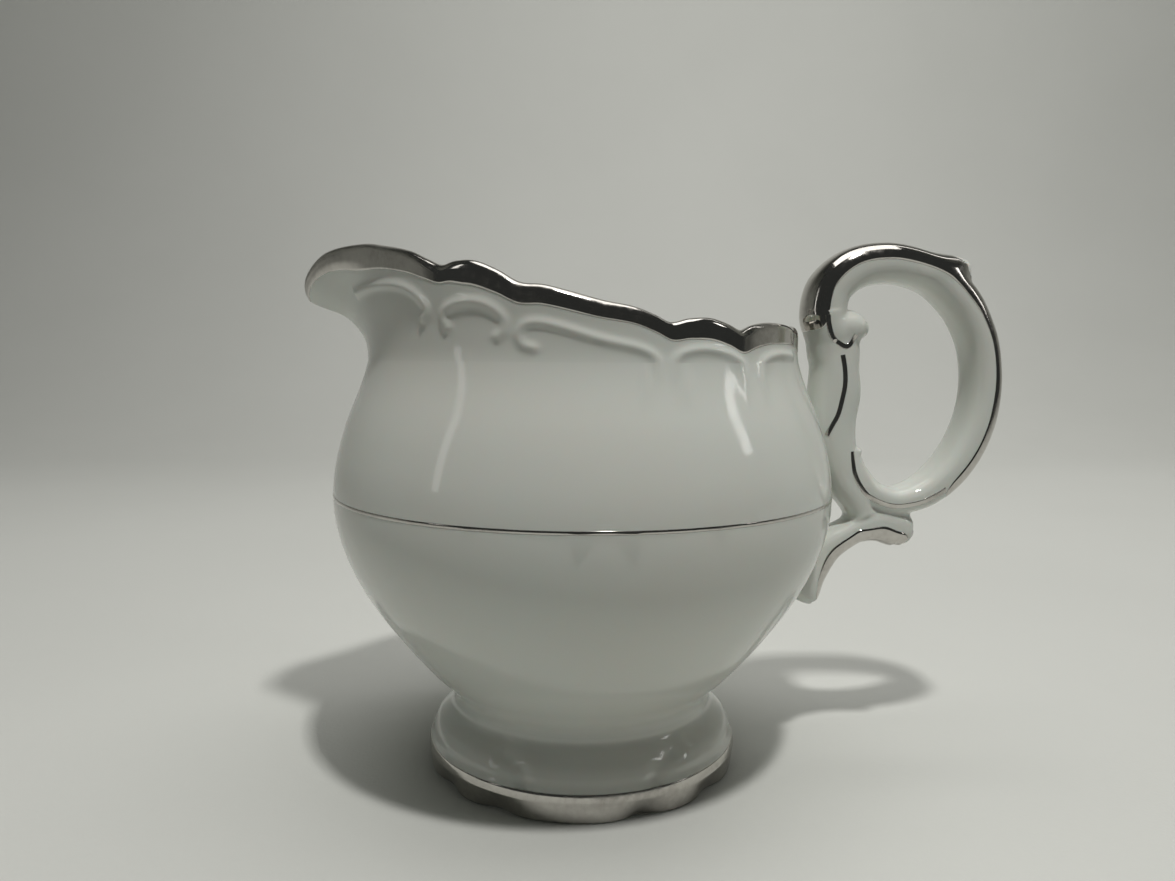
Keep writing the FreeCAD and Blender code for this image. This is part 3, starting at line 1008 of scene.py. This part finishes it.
def painted_line(
    name: str, points: Array, normals: Array, taper: Array, width: float, closed: bool, finish: object
) -> bpy.types.Object:
    """A platinum line painted along one or more paths.

    Args:
        name: The piece's name.
        points: The paths on the surface, paths by points, in millimetres.
        normals: The surface's normals there.
        taper: The line's width at each point, as a share of the full width.
        width: The full width in millimetres.
        closed: Whether each path joins up.
        finish: The line's material.

    Returns:
        The line, as a mesh.
    """
    paths, count = points.shape[:2]
    steps = [(i, (i + 1) % count) for i in range(count if closed else count - 1)]
    edges = [(a + path * count, b + path * count) for path in range(paths) for a, b in steps]
    mesh = bpy.data.meshes.new(name + "_path")
    mesh.from_pydata((points.reshape(-1, 3) * MM).tolist(), edges, [])
    mesh.attributes.new("surface_normal", "FLOAT_VECTOR", "POINT").data.foreach_set(
        "vector", normals.astype(np.float32).ravel()
    )
    tapers = np.tile(taper, paths).astype(np.float32)
    mesh.attributes.new("taper", "FLOAT", "POINT").data.foreach_set("value", tapers)
    values = {"Line Width": width * MM, "Line Height": LINE_HEIGHT * MM, "Material": finish}
    return line_tool().run(in_scene(name + "_path", mesh), name, values)


@dataclass(frozen=True)
class BellyLine:
    """The thin platinum line round the widest part of the belly."""

    wall: Wall = Wall()
    width: float = (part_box("belly_line")[1].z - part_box("belly_line")[0].z) / MM
    points: int = 360
    unevenness: float = 0.12
    waves: Waves = ((3.0, 1.0, 1.0), (11.0, 0.0, 0.5))

    def dress(self, platinum: bpy.types.Material) -> bpy.types.Object:
        """The finished line, in place of its CAD node."""
        turn = np.linspace(0, 2 * np.pi, self.points, endpoint=False)
        normals = np.stack([np.cos(turn), np.sin(turn), np.zeros_like(turn)], axis=1)
        path = normals * self.wall.belly_radius
        path[:, 2] = self.wall.belly_height
        taper = 1 + self.unevenness * hand_waver(turn, self.waves)
        line = painted_line("belly_platinum", path[None], normals, taper, self.width, True, platinum)
        return settle(line, Slot.PLATINUM, "belly_line")


# ---------------------------------------------------------------- handle


class Limb:
    """A limb of the handle: stations along its middle line, with a rounded section at each."""

    WINDOW = ((36.0, 22.0), (94.0, 110.0))
    CELL = 0.4

    def __init__(
        self, stations: Stations, samples: int = 400, power: float = 2.5, cap: float = 0.9
    ) -> None:
        """Lay the limb out.

        Args:
            stations: (x, z, depth to the back, depth to the front, half width) in millimetres.
            samples: How finely the middle line is divided.
            power: How square the section is; 2 is an ellipse.
            cap: How far the rounded ends stand beyond the first and last stations.
        """
        self.power, self.cap = power, cap
        self.steps = np.linspace(0, len(stations) - 1, samples)
        columns = [smooth_through(tuple(enumerate(column)), self.steps) for column in zip(*stations)]
        self.centre = np.stack(columns[:2], axis=1)
        self.back, self.front, self.half = columns[2:]
        self.along = unit(np.gradient(self.centre, axis=0))
        self.normal = np.stack([-self.along[:, 1], self.along[:, 0]], axis=1)
        self.spacing = np.linalg.norm(np.gradient(self.centre, axis=0), axis=1)
        self.window = np.array(self.WINDOW)
        x, z = (np.arange(low, high, self.CELL) for low, high in self.window.T)
        self.nearest = np.empty((len(x), len(z)), int)
        for i, column in enumerate(x):
            gap = (column - self.centre[:, 0]) ** 2 + (z[:, None] - self.centre[:, 1]) ** 2
            self.nearest[i] = gap.argmin(axis=1)

    @staticmethod
    def read(position: Array, values: Array) -> Array:
        """Values along the limb, read at places between its steps."""
        return np.interp(position, np.arange(len(values)), values)

    def distance(self, x: Array, y: Array, z: Array) -> Array:
        """About how far points lie outside the limb; negative inside.

        Args:
            x: Coordinates in millimetres; the three arrays are broadcast together.
            y: As x.
            z: As x.

        Returns:
            The distances.
        """
        x, z = np.broadcast_arrays(x, z)
        flat = np.stack([x.ravel(), z.ravel()], axis=1)
        cell = np.rint((flat - self.window[0]) / self.CELL).astype(int)
        cell = np.clip(cell, 0, np.array(self.nearest.shape) - 1)
        nearest = self.nearest[cell[:, 0], cell[:, 1]]
        last = len(self.centre) - 1
        ahead = ((flat - self.centre[nearest]) * self.along[nearest]).sum(axis=-1)
        position = nearest + ahead / self.spacing[nearest]
        beyond = np.where((position < 0) | (position > last), np.abs(ahead), 0.0)
        at = partial(self.read, np.clip(position, 0, last))
        arm = flat - np.stack([at(self.centre[:, 0]), at(self.centre[:, 1])], axis=1)
        depth = arm[:, 0] * at(self.normal[:, 0]) + arm[:, 1] * at(self.normal[:, 1])
        back, front = at(self.back), at(self.front)
        deep = np.where(depth > 0, back, front)
        flatness = (np.abs(depth) / deep) ** self.power + (beyond / self.cap) ** self.power
        half = at(self.half).reshape(x.shape)
        measure = (flatness.reshape(x.shape) + (np.abs(y) / half) ** self.power) ** (1 / self.power)
        reach = np.sqrt((depth**2 + beyond**2).reshape(x.shape) + y**2)
        return reach * (1 - 1 / np.maximum(measure, 1e-3))

    def section(self, share: Array, turn: Array) -> Array:
        """Points on the limb's own surface.

        Args:
            share: How far along the limb, 0 to 1.
            turn: Degrees round the section from the middle of the back.

        Returns:
            The points, in millimetres.
        """
        share, turn = np.broadcast_arrays(np.asarray(share, float), np.radians(np.asarray(turn, float)))
        at = partial(self.read, share * (len(self.steps) - 1))
        out, side = np.cos(turn), np.sin(turn)
        power = 2 / self.power
        reach = np.sign(out) * np.abs(out) ** power * np.where(out > 0, at(self.back), at(self.front))
        across = np.sign(side) * np.abs(side) ** power * at(self.half)
        x = at(self.centre[:, 0]) + at(self.normal[:, 0]) * reach
        z = at(self.centre[:, 1]) + at(self.normal[:, 1]) * reach
        return np.stack([x, across, z], axis=-1)


def run_together(first: Array, second: Array, softness: float) -> Array:
    """Distances to two shapes joined with a soft fillet."""
    near = np.maximum(softness - np.abs(first - second), 0) / softness
    return np.minimum(first, second) - near**2 * softness / 4


class BodyField:
    """Distance to the turned body of the bowl, read from a table over radius and height."""

    WINDOW = ((30.0, 92.0), (20.0, 110.0))
    ROWS = 500
    ROWS_ABOVE = 80
    TOP_ABOVE = 112.0

    def __init__(self, wall: Wall, step: float = 0.4) -> None:
        """Fill the table.

        Args:
            wall: The rule of the bowl's wall.
            step: The table's spacing in millimetres.
        """
        line = wall.point(0.0, np.linspace(0, 1, self.ROWS))
        outline = np.stack([-line[:, 0], line[:, 2]], axis=1)
        rising = np.linspace(wall.shoulder_top, self.TOP_ABOVE, self.ROWS_ABOVE)
        above = np.stack([np.full_like(rising, outline[-1, 0]), rising], axis=1)
        outline = np.concatenate([outline, above])
        # The handle meets the bowl below the neck's narrowest place, so the body ends there.
        self.top = wall.neck[2][0]
        self.low, self.step = np.array(self.WINDOW)[:, 0], step
        radius, height = (np.arange(low, high, step) for low, high in self.WINDOW)
        table = np.empty((len(radius), len(height)))
        for j, z in enumerate(height):
            gap = np.hypot(radius[:, None] - outline[:, 0], z - outline[:, 1]).min(axis=1)
            table[:, j] = np.where(radius < np.interp(z, outline[:, 1], outline[:, 0]), -gap, gap)
        self.table = table

    def distance(self, x: Array, y: Array, z: Array) -> Array:
        """How far points lie outside the body; negative inside."""
        a, b = np.broadcast_arrays((np.hypot(x, y) - self.low[0]) / self.step, (z - self.low[1]) / self.step)
        i = np.clip(np.floor(a).astype(int), 0, self.table.shape[0] - 2)
        j = np.clip(np.floor(b).astype(int), 0, self.table.shape[1] - 2)
        u, v = a - i, b - j
        near = self.table[i, j] * (1 - v) + self.table[i, j + 1] * v
        far = self.table[i + 1, j] * (1 - v) + self.table[i + 1, j + 1] * v
        return np.maximum(near * (1 - u) + far * u, z - self.top)


def surface_net(values: Array, low: Array, step: float) -> tuple[Array, Array]:
    """The zero surface of a field on a grid.

    Args:
        values: The field; it is negative inside and positive at the grid's border.
        low: The grid's lowest corner.
        step: The grid's spacing.

    Returns:
        The surface's points and its four-sided faces.
    """
    shape = tuple(n - 1 for n in values.shape)
    total, count = np.zeros((*shape, 3)), np.zeros(shape)
    for axis in range(3):
        others = [a for a in range(3) if a != axis]
        for corner in ((0, 0), (0, 1), (1, 0), (1, 1)):
            start = [0, 0, 0]
            start[others[0]], start[others[1]] = corner
            end = list(start)
            end[axis] = 1
            a, b = (values[tuple(slice(s, s + n) for s, n in zip(at, shape))] for at in (start, end))
            crossed = (a < 0) != (b < 0)
            share = np.where(crossed, a / np.where(crossed, a - b, 1.0), 0.0)
            for part in range(3):
                total[..., part] += crossed * (share if part == axis else start[part])
            count += crossed
    used = count > 0
    numbers = np.full(shape, -1)
    numbers[used] = np.arange(used.sum())
    points = low + step * (np.argwhere(used) + total[used] / count[used][:, None])
    faces = []
    for axis in range(3):
        u, v = (axis + 1) % 3, (axis + 2) % 3
        before = np.take(values, range(values.shape[axis] - 1), axis) < 0
        after = np.take(values, range(1, values.shape[axis]), axis) < 0
        edges = np.argwhere(before != after)
        leaving = before[tuple(edges.T)]
        ring = []
        for du, dv in ((-1, -1), (0, -1), (0, 0), (-1, 0)):
            cell = edges.copy()
            cell[:, u] += du
            cell[:, v] += dv
            ring.append(numbers[tuple(cell.T)])
        quads = np.stack(ring, axis=1)
        faces.append(np.where(leaving[:, None], quads, quads[:, ::-1]))
    return points, np.concatenate(faces)


def without_pinches(values: Array) -> Array:
    """The same field with its pinches filled, so that its surface never touches itself."""
    field = values.copy()
    for _ in range(12):
        for u, v in ((0, 1), (1, 2), (0, 2)):
            corners = []
            for du, dv in ((0, 0), (1, 0), (1, 1), (0, 1)):
                cut = [slice(None)] * 3
                cut[u], cut[v] = slice(du, field.shape[u] - 1 + du), slice(dv, field.shape[v] - 1 + dv)
                corners.append(field[tuple(cut)])
            signs = [corner < 0 for corner in corners]
            pinched = (signs[0] == signs[2]) & (signs[1] == signs[3]) & (signs[0] != signs[1])
            for corner in corners:
                corner[pinched] = np.minimum(corner[pinched], -0.01)
    return field


class HandleShape:
    """The handle's casting: limbs run together softly, with a slip fillet onto the bowl.

    In millimetres, SLIP is the softness of the fillet, BURY how deep its run-out ends under the
    bowl's surface, SKIRT how far it may reach from the casting, UNDER how deep the casting
    goes into the bowl's wall, and STRIDE the longest single move along each axis of a point
    that is brought to the surface.
    """

    SLIP = 1.7
    BURY = 0.06
    SKIRT = 3.0
    UNDER = 0.8
    STRIDE = 0.4

    def __init__(self, limbs: list[tuple[Limb, float]], body: BodyField) -> None:
        """Put the casting together.

        Args:
            limbs: Each limb with the softness of its join to those before it.
            body: The bowl's body.
        """
        self.limbs, self.body = limbs, body

    def distance(self, x: Array, y: Array, z: Array) -> Array:
        """About how far points lie outside the casting; negative inside."""
        cast = self.limbs[0][0].distance(x, y, z)
        for limb, softness in self.limbs[1:]:
            cast = run_together(cast, limb.distance(x, y, z), softness)
        body = self.body.distance(x, y, z)
        joined = run_together(cast, body + self.BURY, self.SLIP)
        return np.maximum(np.maximum(joined, cast - self.SKIRT), -body - self.UNDER)

    def slopes(self, points: Array) -> Array:
        """The distance's gradient at points."""
        step = 0.02
        sides = []
        for axis in range(3):
            shift = np.zeros(3)
            shift[axis] = step
            ahead, behind = points + shift, points - shift
            sides.append((self.distance(*ahead.T) - self.distance(*behind.T)) / (2 * step))
        return np.stack(sides, axis=1)

    def settled(self, points: Array, rounds: int = 3) -> tuple[Array, Array]:
        """Points moved onto the casting's surface, and the surface's normals there."""
        flat = points.reshape(-1, 3).copy()
        for _ in range(rounds):
            slope = self.slopes(flat)
            size = np.maximum((slope**2).sum(axis=1, keepdims=True), 0.2)
            move = self.distance(*flat.T)[:, None] * slope / size
            flat -= np.clip(move, -self.STRIDE, self.STRIDE)
        normals = unit(self.slopes(flat))
        return flat.reshape(points.shape), normals.reshape(points.shape)

    def mesh(self, name: str, low: Array, high: Array, step: float) -> bpy.types.Object:
        """The casting as a closed mesh.

        Args:
            name: The object's name.
            low: The lowest corner of the space that it is looked for in.
            high: The highest corner.
            step: The spacing of the faces in millimetres.

        Returns:
            The mesh object.
        """
        x, y, z = (np.arange(a, b + step, step) for a, b in zip(low, high))
        field = self.distance(x[:, None, None], y[None, :, None], z[None, None, :])
        points, faces = surface_net(without_pinches(field), low, step)
        points, _ = self.settled(points)
        return make_object(name, points, [faces])


@dataclass(frozen=True)
class Ribbon:
    """A wide painted area that follows a limb.

    Attributes:
        name: The piece's name.
        span: Where it starts and ends, as shares of the limb.
        middle: Its middle, in degrees round the section from the middle of the back.
        reach: (share of the limb, degrees from the middle to either edge).
        nodes: The CAD nodes that it stands for.
        rows: How finely it is divided along the limb.
        columns: How finely it is divided across.
        waver: How much its edges waver, as a share of its width.
        wave: How quickly they waver, in radians over the limb's whole length.
        wave_shift: How far the two edges' waves are apart, as half an angle in radians.
        end_width: The width at its rounded ends, as a share of the full width.
        rounding: How long the rounded ends are, as a share of the limb.
    """

    name: str
    span: tuple[float, float]
    middle: float
    reach: Points
    nodes: tuple[str, ...]
    rows: int = 200
    columns: int = 29
    waver: float = 0.012
    wave: float = 37.0
    wave_shift: float = 2.0
    end_width: float = 0.72
    rounding: float = 0.01


@dataclass(frozen=True)
class Line:
    """A thin painted line on the handle's flank.

    Attributes:
        name: The piece's name, without its side.
        path: (x, z) points in millimetres.
        widths: (way along, width in millimetres).
        nodes: The CAD nodes that it stands for, without their side.
        flank: How far from the middle the path is looked for.
        points: How finely the path is divided.
    """

    name: str
    path: Points
    widths: Points
    nodes: tuple[str, ...] = ()
    flank: float = 4.8
    points: int = 160


@dataclass(frozen=True)
class Handle:
    """The stuck-on handle and everything painted on it."""

    wall: Wall = Wall()
    step: float = 0.4
    margin: float = 2.0
    loop: Stations = (
        (49.9, 84.4, 3.6, 2.2, 4.7), (49.0, 86.4, 4.3, 3.6, 5.0), (48.5, 89.4, 4.6, 4.0, 5.2),
        (49.7, 94.0, 4.5, 4.0, 5.25), (54.0, 97.8, 4.2, 4.2, 5.25), (60.2, 99.1, 4.0, 4.1, 5.25),
        (66.2, 98.3, 3.9, 3.9, 5.25), (70.6, 96.6, 3.9, 3.8, 5.25), (73.6, 94.5, 3.9, 3.8, 5.2),
        (76.4, 91.6, 3.8, 3.7, 5.2), (78.4, 88.7, 3.6, 3.5, 5.2), (80.7, 83.6, 3.4, 3.3, 5.2),
        (81.8, 78.0, 3.3, 3.3, 5.2), (81.8, 72.4, 3.4, 3.3, 5.2), (80.6, 66.6, 3.6, 3.3, 5.2),
        (78.0, 61.0, 3.8, 3.2, 5.1), (74.2, 56.2, 3.8, 3.0, 5.0), (69.4, 52.6, 3.4, 2.8, 4.9),
        (64.0, 51.2, 2.8, 2.6, 4.8), (59.2, 52.8, 2.7, 2.5, 4.6), (56.2, 56.6, 2.3, 2.1, 4.3),
        (55.0, 60.0, 1.5, 1.4, 4.0), (55.2, 61.4, 1.2, 1.2, 3.9),
    )
    volute: Stations = (
        (49.0, 85.6, 2.8, 2.8, 4.7), (51.0, 86.0, 3.4, 3.6, 5.0), (53.4, 86.1, 3.6, 3.7, 5.1),
        (55.0, 86.0, 3.0, 3.1, 4.8), (56.0, 85.9, 1.9, 2.0, 4.0),
    )
    tip: Stations = (
        (66.0, 97.0, 3.5, 1.8, 4.6), (70.0, 97.2, 3.8, 2.6, 4.8), (73.0, 97.4, 3.6, 3.4, 4.6),
        (75.6, 97.4, 3.2, 3.4, 3.9), (77.2, 97.5, 2.7, 3.2, 2.9),
    )
    stem: Stations = (
        (57.2, 48.6, 2.8, 2.4, 4.1), (55.9, 51.6, 3.4, 2.6, 4.5), (53.4, 56.0, 4.2, 3.6, 4.9),
        (51.4, 61.0, 4.4, 4.2, 5.0), (50.4, 67.0, 4.6, 4.9, 5.0), (50.5, 73.0, 4.6, 5.6, 5.05),
        (50.5, 78.0, 4.3, 5.1, 5.0), (50.3, 80.8, 4.6, 5.4, 4.9), (49.9, 82.6, 4.5, 5.4, 4.9),
        (49.4, 84.6, 4.2, 3.6, 4.9), (48.9, 87.0, 4.1, 2.6, 5.0), (48.5, 89.0, 3.9, 2.6, 5.0),
    )
    spur: Stations = (
        (44.0, 31.6, 4.0, 3.8, 3.4), (44.6, 32.8, 4.9, 4.3, 4.2), (46.6, 36.8, 4.7, 3.7, 4.3),
        (49.8, 41.6, 3.2, 3.5, 4.2), (54.4, 44.9, 2.1, 3.4, 4.1), (57.4, 46.0, 3.0, 3.5, 4.1),
        (61.0, 46.3, 4.2, 3.8, 4.1), (64.6, 45.3, 4.0, 3.9, 4.1), (66.4, 44.2, 3.0, 3.0, 3.6),
        (67.0, 43.8, 2.0, 2.2, 2.9),
    )

    def shape(self) -> HandleShape:
        """The casting's shape, from its limbs."""
        limbs = [
            (Limb(self.loop), 0.0),
            (Limb(self.volute, power=2.2), 0.9),
            (Limb(self.tip, power=2.3), 1.2),
            (Limb(self.stem), 1.2),
            (Limb(self.spur), 1.5),
        ]
        return HandleShape(limbs, BodyField(self.wall))

    def dress(self, shape: HandleShape, porcelain: bpy.types.Material) -> bpy.types.Object:
        """The finished casting, in place of its CAD node."""
        low, high = (np.array(corner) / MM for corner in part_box("handle"))
        casting = shape.mesh("handle_casting", low - self.margin, high + self.margin, self.step)
        return settle(dressed(casting, porcelain), Slot.PORCELAIN, "handle")

    def dress_ribbon(
        self, shape: HandleShape, limb: Limb, ribbon: Ribbon, platinum: bpy.types.Material
    ) -> bpy.types.Object:
        """A wide platinum ribbon on a limb, in place of its CAD node.

        Args:
            shape: The casting that it is painted on.
            limb: The limb that it follows.
            ribbon: Where it runs.
            platinum: Its finish.

        Returns:
            The ribbon.
        """
        share = np.linspace(*ribbon.span, ribbon.rows)[:, None]
        across = np.linspace(-1, 1, ribbon.columns)[None, :]
        hand = 1 + ribbon.waver * np.sin(ribbon.wave * share + ribbon.wave_shift * np.sign(across))
        ends = 1 - np.exp(-np.minimum(share - share[0], share[-1] - share) / ribbon.rounding)
        rounded = ribbon.end_width + (1 - ribbon.end_width) * ends
        reach = smooth_through(ribbon.reach, share) * hand * rounded
        points = limb.section(share, ribbon.middle + reach * across)
        points, normals = shape.settled(points)
        film = closed_skin(ribbon.name, points + normals * FILM_LIFT, points + normals * FILM_SUNK)
        recalculated(film)
        return settle(dressed(film, platinum), Slot.PLATINUM, *ribbon.nodes)

    def dress_line(
        self, shape: HandleShape, line: Line, sides: tuple[Side, ...], platinum: bpy.types.Material
    ) -> bpy.types.Object:
        """A thin platinum line on the handle's flanks.

        Args:
            shape: The casting that it is painted on.
            line: Where it runs.
            sides: The sides that this piece is on.
            platinum: Its finish.

        Returns:
            The line.
        """
        path = np.array(line.path)
        knots = np.linspace(0, 1, len(path))
        along = np.linspace(0, 1, line.points)
        x, z = (smooth_through(tuple(zip(knots, path[:, i])), along) for i in (0, 1))
        flank = np.stack([x, np.full_like(x, line.flank), z], axis=1)
        points, normals = shape.settled(flank, rounds=8)
        mirror = [np.array([1.0, side.value, 1.0]) for side in sides]
        ending = "" if len(sides) > 1 else "_" + sides[0].name.lower()
        made = painted_line(
            line.name + ending,
            np.stack([points * m for m in mirror]),
            np.stack([normals * m for m in mirror]),
            smooth_through(line.widths, along),
            1.0,
            False,
            platinum,
        )
        return settle(made, Slot.PLATINUM, *(node + ending for node in line.nodes))


BACK = Ribbon(
    "loop_back_platinum", (0.05, 0.747), 0.0,
    (
        (0.05, 84.0), (0.14, 84.0), (0.236, 87.0), (0.389, 86.5), (0.432, 84.5), (0.46, 82.0),
        (0.57, 83.0), (0.747, 83.0),
    ),
    ("handle_back_band",), rows=320,
)
SPUR = Ribbon(
    "spur_platinum", (0.10, 0.985), 180.0,
    (
        (0.10, 45.0), (0.20, 70.0), (0.26, 83.0), (0.33, 87.0), (0.60, 88.0), (0.78, 88.0),
        (0.89, 86.0), (1.0, 80.0),
    ),
    ("spur_band",), rows=110,
)
VOLUTE_LINE = Line(
    "volute_platinum",
    ((47.5, 88.5), (47.8, 86.5), (48.6, 84.2), (50.1, 82.9), (51.5, 82.3), (52.7, 83.1), (53.5, 84.6)),
    ((0.0, 0.9), (0.3, 1.2), (0.7, 1.5), (0.9, 1.0), (1.0, 0.3)), ("volute_band",),
)
LOOP_LINE = Line(
    "loop_line_platinum",
    (
        (73.2, 53.9), (72.0, 53.1), (68.9, 51.5), (65.8, 50.7), (62.7, 50.5), (60.0, 51.1), (57.4, 52.4),
        (55.5, 54.4), (54.1, 56.9), (53.6, 59.5), (53.5, 61.5),
    ),
    ((0.0, 1.5), (0.3, 1.4), (0.8, 1.1), (0.94, 1.2), (1.0, 0.4)), ("loop_line",), flank=4.4,
)
STEM_LINE = Line(
    "stem_line_platinum",
    ((50.8, 80.7), (51.3, 77.8), (51.4, 74.8), (50.9, 71.8), (50.2, 68.9), (49.0, 66.5), (48.1, 64.7)),
    ((0.0, 0.3), (0.2, 0.6), (0.6, 0.9), (0.9, 1.1), (1.0, 0.5)), ("stem_line",),
)


# ---------------------------------------------------------------- studio


@dataclass(frozen=True)
class Camera:
    """Where the jug is seen from, in millimetres and degrees."""

    lens: float = 27.02
    sensor: float = 36.0
    nearest: float = 10.0
    distance: float = 174.7
    height: float = 79.7
    round_jug: float = 5.0
    down: float = 5.32
    pan: float = 0.28
    roll: float = 0.35

    def make(self) -> None:
        """Place the camera and make it the scene's."""
        data = bpy.data.cameras.new("camera")
        data.lens, data.sensor_width, data.clip_start = self.lens, self.sensor, self.nearest * MM
        camera = bpy.data.objects.new("camera", data)
        bpy.context.scene.collection.objects.link(camera)
        turned = Matrix.Rotation(math.radians(-self.round_jug), 4, "Z")
        place = Matrix.Translation(Vector((0, -self.distance, self.height)) * MM)
        aim = Matrix.Rotation(math.radians(-self.pan), 4, "Z")
        tilt = Matrix.Rotation(math.radians(90 - self.down), 4, "X")
        lean = Matrix.Rotation(math.radians(self.roll), 4, "Z")
        camera.matrix_world = turned @ place @ aim @ tilt @ lean
        bpy.context.scene.camera = camera


@dataclass(frozen=True)
class Lamp:
    """A soft oblong lamp, in millimetres and watts."""

    name: str
    place: tuple[float, float, float]
    size: tuple[float, float]
    power: float
    target: tuple[float, float, float] = (0.0, 0.0, 55.0)
    color: tuple[float, float, float] = (1.0, 0.985, 0.96)

    def make(self) -> None:
        """Hang the lamp."""
        data = bpy.data.lights.new(self.name, "AREA")
        data.shape, data.size, data.size_y = "RECTANGLE", self.size[0] * MM, self.size[1] * MM
        data.energy, data.color = self.power, self.color
        lamp = bpy.data.objects.new(self.name, data)
        bpy.context.scene.collection.objects.link(lamp)
        place = Vector(self.place) * MM
        lamp.location = place
        lamp.rotation_euler = (Vector(self.target) * MM - place).to_track_quat("-Z", "Y").to_euler()


@dataclass(frozen=True)
class Studio:
    """The pale sweep under, behind and beside the jug, the lamps and the dim room."""

    bend_start: float = 500.0
    bend_radius: float = 500.0
    bend_rows: int = 40
    top: float = 2000.0
    widening: float = 1.3
    squareness: float = 6.0
    opening: tuple[float, float] = (92.0, 100.0)
    front: float = -230.0
    columns: int = 144
    room: Color = (0.035, 0.037, 0.036, 1.0)
    lamps: tuple[Lamp, ...] = (
        Lamp("key", (57.0, -234.0, 600.0), (38.0, 38.0), 2.1),
        Lamp("strip_left", (-531.0, -209.0, 258.0), (40.0, 270.0), 0.05),
        Lamp("strip_right", (525.0, -165.0, 294.0), (50.0, 140.0), 0.09),
        Lamp("ceiling", (100.0, 60.0, 1050.0), (900.0, 600.0), 3.7, (100.0, 260.0, 0.0)),
        Lamp("backdrop_fill", (350.0, 250.0, 700.0), (900.0, 400.0), 2.8, (350.0, 1000.0, 250.0)),
    )

    def sweep(self) -> bpy.types.Object:
        """The floor, which bends up into walls at the back and the sides and is open in front."""
        turn = np.radians(np.linspace(0, 90, self.bend_rows))
        reach = np.concatenate([[1.0], self.bend_start + self.bend_radius * np.sin(turn)])
        height = np.concatenate([[0.0], self.bend_radius * (1 - np.cos(turn))])
        reach, height = np.append(reach, reach[-1])[:, None], np.append(height, self.top)[:, None]
        angle = np.linspace(0, 360, self.columns, endpoint=False)
        rise = np.interp(np.abs((angle + 90) % 360 - 180), self.opening, (1.0, 0.0))
        x, y = np.cos(np.radians(angle)), np.sin(np.radians(angle))
        plan = (np.abs(x) ** self.squareness + np.abs(y) ** self.squareness) ** (-1 / self.squareness)
        across, deep = reach * plan * x * self.widening, np.maximum(reach * plan * y, self.front)
        rows = np.stack(np.broadcast_arrays(across, deep, height * rise), axis=-1)
        return make_object("studio_sweep", rows, [grid_faces(len(reach), self.columns, False, True)])

    def make(self) -> None:
        """Set the studio up."""
        sweep = dressed(self.sweep(), Paper().make())
        for lamp in self.lamps:
            lamp.make()
        world = bpy.data.worlds.new("room")
        world.use_nodes = True
        world.node_tree.nodes["Background"].inputs["Color"].default_value = self.room
        bpy.context.scene.world = world
        bpy.context.scene.view_settings.view_transform = "Standard"


# ---------------------------------------------------------------- whole jug


def report(piece: bpy.types.Object) -> None:
    """Log a piece's size and triangle count."""
    triangles = sum(len(face.vertices) - 2 for face in piece.data.polygons)
    size = [round(value / MM, 2) for value in piece.dimensions]
    LOG.info("%s: %s mm, %d triangles", piece.name, size, triangles)


def main() -> None:
    """Build the jug round its frame and set it in the studio."""
    logging.basicConfig(level=logging.INFO)
    Camera().make()
    Studio().make()
    porcelain, platinum = Porcelain().make(), Platinum().make()
    report(Bowl().dress(porcelain))
    report(RimBand().dress(platinum))
    report(BellyLine().dress(platinum))
    foot = Foot()
    report(foot.dress(porcelain))
    report(foot.dress_band(platinum))
    handle = Handle()
    shape = handle.shape()
    report(handle.dress(shape, porcelain))
    for stations, ribbon in ((handle.loop, BACK), (handle.spur, SPUR)):
        report(handle.dress_ribbon(shape, Limb(stations), ribbon, platinum))
    report(handle.dress_line(shape, VOLUTE_LINE, tuple(Side), platinum))
    for line in (LOOP_LINE, STEM_LINE):
        for side in Side:
            report(handle.dress_line(shape, line, (side,), platinum))


if __name__ == "__main__":
    main()
